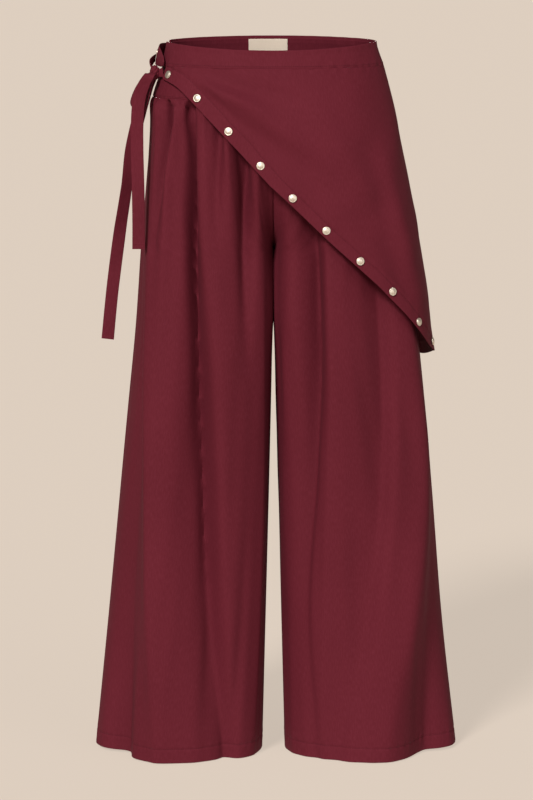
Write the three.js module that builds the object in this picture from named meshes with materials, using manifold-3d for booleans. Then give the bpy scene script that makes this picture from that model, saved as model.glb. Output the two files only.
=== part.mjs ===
// Wide-leg wrap trousers, hollow and upright as on an unseen wearer: four leg panels gathered into a deep
// inner waistband, and over them a three-cornered wrap overlay whose slanting edge carries a row of snaps.
// The overlay's two ends meet at the wearer's right hip, where a tab, two ties, a knot, a bow loop and two
// free tie ends hold it.
// Millimetres. +Z is up, the front faces -Y, and the wearer's right is at -X. The origin is the middle of
// the waist opening, at the height of its rim.
import Module from "manifold-3d";
import * as THREE from "three";
import { mergeVertices } from "three/addons/utils/BufferGeometryUtils.js";

// Cloth and seams
const CLOTH = 1.5; // wall of a single panel
const BAND_CLOTH = 2; // wall of a waistband, which is folded double
const SEAM_GAP = 0.3; // between two pieces along a seam
const HALF_SEAM = 0.06; // half that gap at a side seam, in degrees of turn
const LAYER_GAP = 0.4; // between a piece and the one that it lies on

// Waist, fork and hem
const RIM_FRONT = -4.5; // the waist rim dips at the middle front
const RIM_SIDE = 4;
const RIM_BACK = 6.5;
const INNER_RIM_DROP = 3; // the inner waistband's rim hides behind the overlay's
const INNER_BAND_LOW = -75;
const OVERLAY_BAND_LOW = -30;
const FORK_TOP = -105; // where the middle seams begin to curve in to the fork
const FORK = -290;
const FORK_BREADTH = 0.11; // of the fork's curve, in places round the panel
const THIGH_LOW = -470; // where a leg is round all the way
const HEM = -1028;
const HEM_SIDE_RISE = 4; // the hem lifts a little at the outer corner

// Steps of the panels' grids, from the waist down and round from the middle or the inseam
const LEG_ROWS = [
  -86, -104, -130, -165, -205, -240, -268, -284, -290, -325, -375, -440, -520, -610, -710, -810, -920,
];
const FRONT_COLUMNS = 32;
const BACK_COLUMNS = 24;
const BAND_COLUMNS = 26;
const INNER_BAND_ROWS = 3;
const OVERLAY_FRONT_COLUMNS = 32;
const OVERLAY_BACK_COLUMNS = 28;
const OVERLAY_ROWS = 7;

// Roundness of the ovals: 1 is an ellipse, and less is fuller
const HIP_POWER = 0.95;
const LEG_POWER_ACROSS = 0.9;
const LEG_POWER_DEEP = 0.85;

// Half widths of the trousers at the wearer's right and left, and their front and back planes, at each height
const SECTIONS = [
  { z: 10, right: 150, left: 143, front: -93, back: 93 },
  { z: 0, right: 151.5, left: 144.5, front: -95, back: 95 },
  { z: -30, right: 158.5, left: 154, front: -101, back: 102 },
  { z: -75, right: 173, left: 165, front: -108, back: 112 },
  { z: -130, right: 175.5, left: 173.5, front: -112, back: 118 },
  { z: -200, right: 181.5, left: 183.5, front: -114, back: 121 },
  { z: -290, right: 189.5, left: 194, front: -114, back: 119 },
  { z: -385, right: 197.5, left: 204.5, front: -112, back: 113 },
  { z: -515, right: 210.5, left: 219, front: -108, back: 107 },
  { z: -645, right: 223.5, left: 231.5, front: -106, back: 104 },
  { z: -810, right: 240, left: 246, front: -105, back: 102 },
  { z: -1028, right: 262, left: 270, front: -105, back: 100 },
];

// How far each leg's inseam stands from the middle, and how far the thighs' cloth presses past it
const INSEAM = [
  { z: 10, x: 0.15, press: 0 },
  { z: -200, x: 0.15, press: 0 },
  { z: -250, x: 0.15, press: 0 },
  { z: -290, x: 0.2, press: 3 },
  { z: -325, x: 0.25, press: 9 },
  { z: -360, x: 0.35, press: 12 },
  { z: -390, x: 0.6, press: 12 },
  { z: -415, x: 1.5, press: 9 },
  { z: -445, x: 2.4, press: 6 },
  { z: -480, x: 3.1, press: 4 },
  { z: -645, x: 6.9, press: 0 },
  { z: -810, x: 10.9, press: 0 },
  { z: -1030, x: 16.5, press: 0 },
];

// The overlay's half widths and planes. power is the roundness of its oval: 1 is an ellipse, less is fuller.
const OVERLAY = [
  { z: 8, right: 154, left: 146.5, front: -97, back: 97, power: 0.95 },
  { z: 0, right: 155, left: 147.5, front: -98, back: 98, power: 0.95 },
  { z: -30, right: 162.5, left: 157, front: -105, back: 105, power: 0.94 },
  { z: -77, right: 178, left: 169.5, front: -117, back: 119, power: 0.9 },
  { z: -146, right: 188, left: 184, front: -126, back: 130, power: 0.84 },
  { z: -194, right: 196, left: 194, front: -130, back: 135, power: 0.8 },
  { z: -249, right: 205, left: 204.5, front: -133, back: 139.5, power: 0.76 },
  { z: -336, right: 219, left: 219, front: -137, back: 143.5, power: 0.72 },
  { z: -413, right: 229, left: 228.5, front: -140, back: 146, power: 0.7 },
  { z: -440, right: 232, left: 232, front: -141, back: 147, power: 0.7 },
  { z: -520, right: 240, left: 241, front: -144, back: 149, power: 0.68 },
];

// The overlay's lower edge. turn is the place round the body in degrees: 0 at the wearer's right, 90 at the
// middle front, 180 at the left and 270 at the middle back.
const EDGE = [
  { turn: 20, z: -46.5 },
  { turn: 41.4, z: -60.5 },
  { turn: 55.8, z: -85 },
  { turn: 70.7, z: -122 },
  { turn: 84.3, z: -167 },
  { turn: 88, z: -183.7 },
  { turn: 89, z: -189.2 },
  { turn: 90, z: -196.6 },
  { turn: 91, z: -204 },
  { turn: 92, z: -209.5 },
  { turn: 93.6, z: -217.5 },
  { turn: 103.1, z: -260.5 },
  { turn: 116.5, z: -307.5 },
  { turn: 128.9, z: -344.5 },
  { turn: 138.9, z: -371.5 },
  { turn: 149.5, z: -398 },
  { turn: 159.4, z: -418 },
  { turn: 174.4, z: -437 },
  { turn: 190, z: -450 },
  { turn: 208, z: -458 },
  { turn: 223, z: -450 },
  { turn: 236, z: -422 },
  { turn: 248, z: -380 },
  { turn: 258, z: -333 },
  { turn: 267, z: -284 },
  { turn: 276, z: -236 },
  { turn: 287, z: -190 },
  { turn: 300, z: -145 },
  { turn: 314, z: -104 },
  { turn: 327, z: -73 },
  { turn: 340, z: -50 },
];
const OVERLAY_BAND_FIRST = 8;
const OVERLAY_SEAM = 180;
const OVERLAY_BAND_LAST = 346;

// Folds. x and rise are a fold's distance from the middle and its height in mm at each of the levels. low and
// high are the widths in mm of its two flanks, towards lower and higher places round the half. edge is the
// sharpness of its crest: 2 is round.
const FOLD_LEVELS = [-105, -190, -290, -440, -600, -800, -1028];
const GATHER_DROP = 14; // the folds reach their full height this far under the waistband
const FOLDS = {
  right: {
    front: [
      { x: [174, 175, 178, 178, 177, 176, 170], rise: [0, 5, 11, 14, 17, 17, 10],
        low: 58, high: 12, edge: 1.6 },
      { x: [172, 178, 183, 192, 203, 217, 232], rise: [0, -2, -6, -11, -13, -18, -33],
        low: 28, high: 48, edge: 2.2 },
      { x: [163, 166, 170, 172, 172, 172, 172], rise: [7, 3, 0, 0, 0, 0, 0],
        low: 8, high: 8, edge: 1.8 },
      { x: [147, 158, 166, 168, 168, 168, 168], rise: [-16, -10, -3, 0, 0, 0, 0],
        low: 8, high: 9, edge: 2 },
      { x: [135, 146, 152, 160, 162, 163, 163], rise: [10, 11, 6, 0, 0, 0, 0],
        low: 10, high: 11, edge: 1.6 },
      { x: [126, 131, 131, 131, 131, 131, 131], rise: [-3, 0, 0, 0, 0, 0, 0],
        low: 7, high: 8, edge: 2 },
      { x: [121, 123, 123, 123, 123, 123, 123], rise: [5, 0, 0, 0, 0, 0, 0],
        low: 6, high: 6, edge: 2 },
      { x: [117, 116, 114, 107, 100, 94, 90], rise: [-20, -28, -25, -18, -11, -3, 0],
        low: 8, high: 9, edge: 2 },
      { x: [114, 115, 113, 105, 98, 88, 67], rise: [0, -3, -10, -20, -26, -24, -11],
        low: 12, high: 34, edge: 1.6 },
      { x: [104, 105, 101, 89, 80, 71, 50], rise: [5, 10, 13, 14, 13, 8, 2],
        low: 68, high: 11, edge: 1.6 },
      { x: [77, 79, 80, 80, 80, 80, 80], rise: [-16, -8, 0, 0, 0, 0, 0],
        low: 6, high: 9, edge: 2 },
      { x: [63, 63, 63, 63, 63, 63, 63], rise: [3, 3, 0, 0, 0, 0, 0],
        low: 7, high: 7, edge: 2 },
      { x: [41, 40, 40, 42, 44, 50, 63], rise: [-16, -26, -16, -2, 0, -3, -6],
        low: 8, high: 13, edge: 2 },
      { x: [28, 26, 26, 26, 26, 26, 26], rise: [3, 4, 1, 0, 0, 0, 0],
        low: 6, high: 7, edge: 2 },
      { x: [24, 23, 22, 22, 24, 28, 34], rise: [4, 5, 5, 7, 8, 8, 4],
        low: 12, high: 30, edge: 1.8 },
    ],
    back: [
      { x: [172, 178, 184, 186, 194, 204, 213], rise: [2, 4, 6, 8, 10, 11, 12],
        low: 44, high: 20, edge: 1.6 },
      { x: [160, 166, 172, 170, 168, 170, 172], rise: [-4, -5, -4, -6, -8, -10, -12],
        low: 16, high: 32, edge: 2 },
      { x: [138, 143, 146, 130, 114, 108, 104], rise: [4, 9, 11, 13, 12, 10, 8],
        low: 12, high: 56, edge: 1.5 },
      { x: [107, 111, 110, 90, 76, 70, 64], rise: [-4, -5, -5, -6, -6, -7, -7],
        low: 20, high: 14, edge: 2 },
      { x: [72, 75, 74, 56, 42, 38, 37], rise: [2, 7, 9, 9, 8, 6, 5],
        low: 16, high: 26, edge: 1.7 },
      { x: [36, 38, 34, 20, 14, 15, 20], rise: [2, 4, 3, 0, 0, 0, 0],
        low: 13, high: 13, edge: 1.8 },
    ],
  },
  left: {
    front: [
      { x: [20, 22, 24, 20, 18, 16, 16], rise: [4, 6, 7, 6, 4, 1, 0],
        low: 16, high: 22, edge: 1.8 },
      { x: [55, 55, 57, 61, 55, 45, 60], rise: [-4, -10, -22, -23, -15, -7, -3],
        low: 22, high: 9, edge: 2 },
      { x: [72, 72, 76, 81, 79, 72, 70], rise: [4, 8, 13, 13, 9, 3, 1],
        low: 9, high: 62, edge: 1.5 },
      { x: [132, 132, 144, 158, 158, 134, 88], rise: [-4, -7, -14, -19, -18, -12, -6],
        low: 40, high: 13, edge: 2 },
      { x: [163, 163, 174, 195, 212, 204, 160], rise: [0, 4, 10, 14, 15, 12, 7],
        low: 26, high: 30, edge: 1.8 },
      { x: [176, 184, 190, 200, 214, 230, 242], rise: [0, -2, -3, -4, -5, -10, -36],
        low: 58, high: 50, edge: 2.2 },
    ],
    back: [
      { x: [170, 181, 190, 194, 203, 213, 222], rise: [2, 4, 6, 8, 10, 11, 12],
        low: 40, high: 20, edge: 1.6 },
      { x: [156, 166, 174, 172, 174, 178, 180], rise: [-4, -5, -4, -6, -8, -10, -12],
        low: 16, high: 30, edge: 2 },
      { x: [137, 145, 152, 140, 118, 112, 110], rise: [4, 9, 11, 13, 12, 10, 9],
        low: 13, high: 54, edge: 1.5 },
      { x: [108, 113, 114, 96, 80, 74, 68], rise: [-4, -5, -5, -6, -6, -7, -7],
        low: 20, high: 14, edge: 2 },
      { x: [75, 79, 78, 62, 48, 42, 42], rise: [2, 7, 9, 9, 8, 6, 5],
        low: 18, high: 26, edge: 1.7 },
      { x: [38, 40, 36, 24, 18, 17, 22], rise: [2, 4, 3, 0, 0, 0, 0],
        low: 13, high: 13, edge: 1.8 },
    ],
  },
};
const HALVINGS = 24; // when a place is looked for along the outline
const SEAM_CALM = 14; // folds die away this near to a middle seam or an inseam

// Snaps along the overlay's edge, and the blank label inside the back of the waist
const SNAP = { radius: 5.8, height: 2.4, sides: 14 };
const SNAP_COUNT = 10;
const SNAP_FIRST = 13; // along the edge, from its upper end
const SNAP_PITCH = 65.8;
const SNAP_INSET = 9.4; // from the edge to a snap's middle
const LABEL = { from: -36.5, to: 20.5, top: 2, low: -20, wall: 0.6, columns: 6 };

// Knot and straps at the wearer's right hip. width is a strap's breadth. round and tip give the direction
// that its breadth runs in, in degrees: round as turn, and tip up from the level.
const KNOT = { x: -168.5, y: -30, z: -39.5, across: 7.5, deep: 8, tall: 10.5, groove: 0.14, slant: 0.7 };
const STRAPS = {
  hip_tab: [
    { x: -131, y: 67, z: -14, width: 25, round: -36, tip: 103 },
    { x: -152.5, y: 41, z: -14, width: 27, round: -22, tip: 103 },
    { x: -163.5, y: 17, z: -14, width: 28, round: -8, tip: 103 },
    { x: -166.5, y: -3, z: -16, width: 27, round: 4, tip: 102 },
    { x: -163.8, y: -17, z: -19, width: 24, round: 14, tip: 101 },
    { x: -160.2, y: -28, z: -22, width: 19, round: 20, tip: 100 },
    { x: -157.8, y: -36, z: -24.5, width: 14, round: 24, tip: 100 },
    { x: -156.2, y: -41.5, z: -26.5, width: 6, round: 26, tip: 100 },
  ],
  tie_front: [
    { x: -156.6, y: -37.2, z: -38.7, width: 14.5, round: 20, tip: 100 },
    { x: -160, y: -35.6, z: -39.5, width: 12, round: 10, tip: 96 },
    { x: -164.5, y: -32.8, z: -40.2, width: 9, round: 0, tip: 90 },
    { x: -168, y: -31, z: -40.5, width: 8, round: 0, tip: 90 },
  ],
  tie_back: [
    { x: -169.3, y: 9, z: -21, width: 12, round: 0, tip: 103 },
    { x: -171.5, y: 2, z: -22.5, width: 11.5, round: 0, tip: 95 },
    { x: -175, y: -9, z: -27, width: 10.5, round: 0, tip: 75 },
    { x: -174, y: -19, z: -32, width: 9.5, round: 0, tip: 65 },
    { x: -169, y: -28, z: -38, width: 9, round: 0, tip: 60 },
  ],
  bow_loop: [
    { x: -170, y: -28, z: -40, width: 11, round: 100, tip: 0 },
    { x: -179, y: -29, z: -43, width: 13, round: 105, tip: 0 },
    { x: -189.5, y: -31, z: -54, width: 16, round: 110, tip: 0 },
    { x: -197.5, y: -31, z: -72, width: 17, round: 114, tip: 0 },
    { x: -200, y: -31, z: -84, width: 17, round: 114, tip: 0 },
    { x: -196, y: -31, z: -90, width: 17, round: 110, tip: 0 },
    { x: -187, y: -31, z: -90, width: 17, round: 104, tip: 0 },
    { x: -180, y: -31, z: -83, width: 17, round: 100, tip: 0 },
    { x: -176, y: -31, z: -68, width: 16, round: 96, tip: 0 },
    { x: -172, y: -31, z: -53, width: 12.5, round: 94, tip: 0 },
    { x: -169.5, y: -30, z: -42, width: 10, round: 92, tip: 0 },
  ],
  tie_tail_short: [
    { x: -170, y: -34.5, z: -40, width: 11, round: 10, tip: 0 },
    { x: -176, y: -42.5, z: -43.5, width: 14, round: 10, tip: -8 },
    { x: -184, y: -44.5, z: -56, width: 17, round: 12, tip: -12 },
    { x: -191, y: -45.5, z: -78, width: 18, round: 10, tip: -6 },
    { x: -193.5, y: -50, z: -112, width: 18, round: 4, tip: 0 },
    { x: -193.4, y: -55, z: -149, width: 18, round: -6, tip: 0 },
    { x: -192.5, y: -60, z: -186, width: 18, round: -4, tip: 0 },
    { x: -191.9, y: -64, z: -220, width: 18, round: 6, tip: 0 },
    { x: -191.6, y: -68, z: -255, width: 18, round: 10, tip: 0 },
    { x: -191.7, y: -71, z: -287, width: 18, round: 6, tip: 0 },
  ],
  tie_tail_long: [
    { x: -168.5, y: -25, z: -42, width: 9, round: 0, tip: 0 },
    { x: -171.5, y: -16, z: -49, width: 10, round: 0, tip: 0 },
    { x: -176.5, y: -12.5, z: -58, width: 12, round: 0, tip: 0 },
    { x: -183.5, y: -12.5, z: -75, width: 16, round: 0, tip: 0 },
    { x: -191.5, y: -14, z: -100, width: 18, round: 4, tip: 0 },
    { x: -203.4, y: -15, z: -150, width: 18, round: 14, tip: 0 },
    { x: -210.3, y: -16, z: -203, width: 18, round: 30, tip: 0 },
    { x: -217, y: -17, z: -245, width: 18, round: 22, tip: 0 },
    { x: -223, y: -18, z: -286, width: 18, round: 6, tip: 0 },
    { x: -231.9, y: -18, z: -355, width: 18, round: -8, tip: 0 },
    { x: -238.9, y: -18, z: -423, width: 18, round: -4, tip: 0 },
  ],
};
const STRAP_STEPS = {
  hip_tab: 14, tie_front: 4, tie_back: 6, bow_loop: 22, tie_tail_short: 16, tie_tail_long: 16,
};
const TAB_SNAP_SHARE = 0.3; // along the tab

const COLORS = { cloth: 0x6b2430, inside: 0x4a171f, strap: 0x64212c, metal: 0xd9cbb8, label: 0xe0d6c8 };

const RIGHT = -1;
const LEFT = 1;

const clamp = (v, low, high) => Math.min(high, Math.max(low, v));
const mix = (a, b, share) => a + (b - a) * share;
const evenly = (a, b, count) => Array.from({ length: count + 1 }, (_, i) => mix(a, b, i / count));
const signedPower = (v, power) => Math.sign(v) * Math.abs(v) ** power;
const radians = THREE.MathUtils.degToRad;

// 0 at a, 1 at b, and level at both.
function ease(a, b, v) {
  const t = clamp((v - a) / (b - a), 0, 1);
  return t * t * (3 - 2 * t);
}

// A smooth curve through values at places, which rise or fall: cubic Hermite, each tangent the mean slope
// weighted by the far step. Past the ends it stays level.
function curve(places, values, at) {
  const last = places.length - 1;
  const sign = Math.sign(places[1] - places[0]);
  const v = clamp(sign * at, sign * places[0], sign * places[last]);
  let i = 0;
  while (i < last - 1 && v > sign * places[i + 1]) i += 1;
  const step = (k) => sign * (places[k + 1] - places[k]);
  const slope = (k) => (values[k + 1] - values[k]) / step(k);
  const tangent = (k) => {
    if (k === 0) return slope(0);
    if (k === last) return slope(last - 1);
    return (step(k) * slope(k - 1) + step(k - 1) * slope(k)) / (step(k) + step(k - 1));
  };
  const t = (v - sign * places[i]) / step(i);
  const back = 1 - t;
  return (
    back * back * (1 + 2 * t) * values[i] +
    t * t * (3 - 2 * t) * values[i + 1] +
    t * back * step(i) * (back * tangent(i) - t * tangent(i + 1))
  );
}

// The same curve through two columns of a table. key is the column that it runs along.
function through(table, key, column, at) {
  return curve(table.map((row) => row[key]), table.map((row) => row[column]), at);
}

// How far the section has changed from the half oval of a hip into the whole oval of a leg. It changes slowly
// down the thigh, and along a quarter circle beside the middle seams, which close there into the fork.
function legShare(place, z) {
  const u = clamp((FORK_TOP - z) / (FORK_TOP - FORK), 0, 1);
  const fork = 1 - Math.sqrt(1 - u * u);
  const thigh = ease(FORK_TOP, THIGH_LOW, z);
  const beside = Math.exp(-((place / FORK_BREADTH) ** 2)) + Math.exp(-(((2 - place) / FORK_BREADTH) ** 2));
  return mix(thigh, fork, beside);
}

// The outline without folds, on the side where x is positive. length is what one unit of place measures.
function plainSection(side, place, z) {
  const out = through(SECTIONS, "z", side === RIGHT ? "right" : "left", z);
  const plane = through(SECTIONS, "z", place < 1 ? "front" : "back", z);
  const inseam = through(INSEAM, "z", "x", z);
  const start = inseam - through(INSEAM, "z", "press", z);
  const angle = (place * Math.PI) / 2;
  const hipX = inseam + (out - inseam) * Math.abs(Math.sin(angle)) ** HIP_POWER;
  const hipY = plane * Math.abs(Math.cos(angle)) ** HIP_POWER;
  const legX = (start + out) / 2 - ((out - start) / 2) * signedPower(Math.cos(2 * angle), LEG_POWER_ACROSS);
  const legY = plane * Math.abs(Math.sin(2 * angle)) ** LEG_POWER_DEEP;
  const share = legShare(place, z);
  const hipLength = (Math.PI / 4) * (out + Math.abs(plane));
  const legLength = (Math.PI / 4) * (out - start + 2 * Math.abs(plane));
  const length = mix(hipLength, legLength, share);
  return { x: mix(hipX, legX, share), y: mix(hipY, legY, share), inseam, length };
}

// The place on a half's front or back where the plain outline reaches x, by halving.
function placeAt(side, face, x, z) {
  let near = 0;
  let far = 1;
  for (let i = 0; i < HALVINGS; i += 1) {
    const middle = (near + far) / 2;
    if (plainSection(side, face === "front" ? middle : 2 - middle, z).x < x) near = middle;
    else far = middle;
  }
  return face === "front" ? near : 2 - near;
}

// A half's folds at a height, kept for the next points of the same row: each one's place, rise and flanks.
const foldRows = new Map();
function foldsAt(side, z) {
  const key = `${side} ${z.toFixed(3)}`;
  if (!foldRows.has(key)) {
    const half = FOLDS[side === RIGHT ? "right" : "left"];
    const row = Object.entries(half).flatMap(([face, folds]) =>
      folds.map(({ x, rise, low, high, edge }) => {
        const place = placeAt(side, face, curve(FOLD_LEVELS, x, z), z);
        return { place, rise: curve(FOLD_LEVELS, rise, z), low, high, edge };
      }),
    );
    foldRows.set(key, row);
  }
  return foldRows.get(key);
}

// How far the folds lift the cloth at a place and height.
function foldLift(side, place, z, length) {
  if (z > INNER_BAND_LOW) return 0;
  let lift = 0;
  for (const fold of foldsAt(side, z)) {
    const away = (place - fold.place) * length;
    const width = away < 0 ? fold.low : fold.high;
    lift += fold.rise * Math.exp(-((Math.abs(away) / width) ** fold.edge));
  }
  const calm = ease(0, SEAM_CALM, place * length) * ease(0, SEAM_CALM, (2 - place) * length);
  return lift * calm * ease(INNER_BAND_LOW, INNER_BAND_LOW - GATHER_DROP, z);
}

// A point on the outside of the trousers: the plain outline moved out along its own normal by the folds.
function trousersPoint(side, place, z) {
  const step = 0.001;
  const middle = clamp(place, 2 * step, 2 - 2 * step);
  const here = plainSection(side, clamp(place, 0, 2), z);
  const before = plainSection(side, middle - step, z);
  const after = plainSection(side, middle + step, z);
  const run = Math.hypot(after.x - before.x, after.y - before.y);
  const lift = foldLift(side, place, z, here.length);
  const x = here.x + ((after.y - before.y) / run) * lift;
  const y = here.y - ((after.x - before.x) / run) * lift;
  const rise = HEM_SIDE_RISE * Math.exp(-(((place - 1) / 0.3) ** 2)) * ease(-800, HEM, z);
  return new THREE.Vector3(side * Math.max(x, here.inseam), y, z + rise);
}

// A point on a table's smooth oval, by degrees of turn.
function ovalPoint(table, turn, z) {
  const across = Math.cos(radians(turn));
  const along = Math.sin(radians(turn));
  const width = through(table, "z", across > 0 ? "right" : "left", z);
  const plane = through(table, "z", along > 0 ? "front" : "back", z);
  const power = table === OVERLAY ? through(table, "z", "power", z) : HIP_POWER;
  return new THREE.Vector3(-width * signedPower(across, power), plane * Math.abs(along) ** power, z);
}

// The turn at which a table's oval reaches x on its back half.
function backTurn(table, x, z) {
  const width = through(table, "z", x < 0 ? "right" : "left", z);
  return 270 - (Math.asin(signedPower(x / width, 1 / HIP_POWER)) * 180) / Math.PI;
}

// The waist rim's height at a turn.
function rimHeight(turn) {
  const along = Math.sin(radians(turn));
  return mix(RIM_SIDE, along > 0 ? RIM_FRONT : RIM_BACK, along * along);
}

// The outward normal of a surface point(u, v), from its neighbours. flip is -1 where u runs clockwise.
function normalOf(point, u, v, stepU, flip) {
  const alongU = point(u + stepU, v).sub(point(u - stepU, v));
  const alongV = point(u, v + 1).sub(point(u, v - 1));
  return alongU.cross(alongV).normalize().multiplyScalar(flip);
}

// The u that lies length along the surface from a seam at u, in the direction of sign.
function besideSeam(point, u, v, sign, length) {
  const seam = point(u, v);
  let near = 0;
  let far = sign * 0.5;
  for (let i = 0; i < HALVINGS; i += 1) {
    const middle = (near + far) / 2;
    if (point(u + middle, v).distanceTo(seam) < length) near = middle;
    else far = middle;
  }
  return u + far;
}

// A closed wall between two faces, each an array of rows of points. clockwise says that the columns run so.
function wall(outer, inner, clockwise) {
  const rows = outer.length;
  const columns = outer[0].length;
  const positions = [...outer.flat(), ...inner.flat()].flatMap((p) => [p.x, p.y, p.z]);
  const index = [];
  const at = (face, r, c) => (face * rows + r) * columns + c;
  const quad = (a, b, c, d) => index.push(...(clockwise ? [a, c, b, a, d, c] : [a, b, c, a, c, d]));
  for (let r = 0; r < rows - 1; r += 1) {
    const end = columns - 1;
    for (let c = 0; c < end; c += 1) {
      quad(at(0, r, c), at(0, r + 1, c), at(0, r + 1, c + 1), at(0, r, c + 1));
      quad(at(1, r, c), at(1, r, c + 1), at(1, r + 1, c + 1), at(1, r + 1, c));
    }
    quad(at(0, r, 0), at(1, r, 0), at(1, r + 1, 0), at(0, r + 1, 0));
    quad(at(0, r, end), at(0, r + 1, end), at(1, r + 1, end), at(1, r, end));
  }
  for (let c = 0; c < columns - 1; c += 1) {
    const end = rows - 1;
    quad(at(0, 0, c), at(0, 0, c + 1), at(1, 0, c + 1), at(1, 0, c));
    quad(at(0, end, c), at(1, end, c), at(1, end, c + 1), at(0, end, c + 1));
  }
  const geometry = new THREE.BufferGeometry();
  geometry.setAttribute("position", new THREE.Float32BufferAttribute(positions, 3));
  geometry.setIndex(index);
  return geometry;
}

// A wall on a surface point(u, v), from a grid of rows of { u, v }, as thick as thickness inwards. Its top
// and bottom edges are level.
function panel(point, grid, thickness, stepU, flip) {
  const outer = grid.map((row) => row.map(({ u, v }) => point(u, v)));
  const inner = grid.map((row, r) =>
    row.map(({ u, v }, c) => {
      const normal = normalOf(point, u, v, stepU, flip);
      if (r === 0 || r === grid.length - 1) normal.setZ(0).normalize();
      return outer[r][c].clone().addScaledVector(normal, -thickness);
    }),
  );
  return wall(outer, inner, flip < 0);
}

// One leg panel between two seams, from the inner waistband to the hem.
function legPanel(side, first, last, columns) {
  const point = (place, z) => trousersPoint(side, place, z);
  const heights = [INNER_BAND_LOW - SEAM_GAP, ...LEG_ROWS, HEM];
  const grid = heights.map((z) => {
    const from = besideSeam(point, first, z, 1, SEAM_GAP / 2);
    const to = besideSeam(point, last, z, -1, SEAM_GAP / 2);
    return evenly(from, to, columns).map((u) => ({ u, v: z }));
  });
  return panel(point, grid, CLOTH, 0.003, side);
}

// A waistband's half on a table's oval, between two turns and down to z.
function bandHalf(table, first, last, drop, low, rows) {
  const point = (turn, z) => ovalPoint(table, turn, z);
  const turns = evenly(first, last, BAND_COLUMNS);
  const grid = evenly(0, 1, rows).map((share) =>
    turns.map((turn) => ({ u: turn, v: mix(rimHeight(turn) - drop, low, share) })),
  );
  return panel(point, grid, BAND_CLOTH, 0.4, 1);
}

const overlayPoint = (turn, z) => ovalPoint(OVERLAY, turn, z);
const edgeHeight = (turn) => through(EDGE, "turn", "z", turn);

// An overlay panel between two turns, from its waistband down to the slanting edge.
function overlayPanel(first, last, columns) {
  const top = OVERLAY_BAND_LOW - SEAM_GAP;
  const grid = evenly(0, 1, OVERLAY_ROWS).map((share) =>
    evenly(first, last, columns).map((turn) => ({ u: turn, v: mix(top, edgeHeight(turn), share) })),
  );
  return panel(overlayPoint, grid, CLOTH, 0.4, 1);
}

// The label lies on the back waistband's inside, so it is made from that inside's points, moved in.
function label() {
  const inwards = (depth) =>
    [LABEL.top, (LABEL.top + LABEL.low) / 2, LABEL.low].map((z) =>
      evenly(LABEL.from, LABEL.to, LABEL.columns).map((x) => {
        const turn = backTurn(SECTIONS, x, z);
        const point = (u, v) => ovalPoint(SECTIONS, u, v);
        return point(turn, z).addScaledVector(normalOf(point, turn, z, 0.4, 1), -depth);
      }),
    );
  const near = BAND_CLOTH + LAYER_GAP;
  return wall(inwards(near), inwards(near + LABEL.wall), true);
}

// A place on a strap by its share of the way along: its middle, breadth direction, face direction and width.
function strapPlace(rows, share) {
  const line = new THREE.CatmullRomCurve3(rows.map((row) => new THREE.Vector3(row.x, row.y, row.z)));
  const along = share * (rows.length - 1);
  const i = Math.min(Math.floor(along), rows.length - 2);
  const value = (column) => mix(rows[i][column], rows[i + 1][column], along - i);
  const round = radians(value("round"));
  const tip = radians(value("tip"));
  const breadth = new THREE.Vector3(-Math.cos(round), -Math.sin(round), 0).multiplyScalar(Math.cos(tip));
  breadth.z = Math.sin(tip);
  const tangent = line.getTangent(share);
  breadth.addScaledVector(tangent, -breadth.dot(tangent)).normalize();
  const face = tangent.clone().cross(breadth);
  return { middle: line.getPoint(share), breadth, face, width: value("width") };
}

// A flat strap of cloth along its rows.
function strap(name) {
  const places = evenly(0, 1, STRAP_STEPS[name]).map((share) => strapPlace(STRAPS[name], share));
  const side = (depth) =>
    places.map(({ middle, breadth, face, width }) =>
      [-0.5, 0, 0.5].map((across) =>
        middle
          .clone()
          .addScaledVector(breadth, across * width)
          .addScaledVector(face, depth),
      ),
    );
  return wall(side(CLOTH / 2), side(-CLOTH / 2), false);
}

// The knot: an egg of cloth with a slanting groove where the strap wraps it. grown widens it all round.
function knot(grown) {
  const geometry = new THREE.IcosahedronGeometry(1, 3);
  const points = geometry.getAttribute("position");
  const p = new THREE.Vector3();
  for (let i = 0; i < points.count; i += 1) {
    p.fromBufferAttribute(points, i);
    const off = (p.z - KNOT.slant * p.x) / 0.3;
    p.multiplyScalar(1 - KNOT.groove * Math.exp(-off * off));
    points.setXYZ(
      i,
      KNOT.x + p.x * (KNOT.across + grown),
      KNOT.y + p.y * (KNOT.deep + grown),
      KNOT.z + p.z * (KNOT.tall + grown),
    );
  }
  return geometry;
}

// A snap's cap: a low dome, with its axis along +Z and its base at 0.
function snapCap() {
  const { radius, height, sides } = SNAP;
  const profile = [
    [0, 0],
    [radius, 0],
    [radius, height * 0.35],
    [radius * 0.82, height * 0.8],
    [0, height],
  ].map(([r, z]) => new THREE.Vector2(r, z));
  return new THREE.LatheGeometry(profile, sides).rotateX(Math.PI / 2);
}

// A cap seated on a surface at a point, facing along a normal.
function seatedSnap(point, normal) {
  const turned = new THREE.Quaternion().setFromUnitVectors(new THREE.Vector3(0, 0, 1), normal);
  const geometry = snapCap().applyQuaternion(turned);
  const base = point.clone().addScaledVector(normal, LAYER_GAP);
  return geometry.translate(base.x, base.y, base.z);
}

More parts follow.
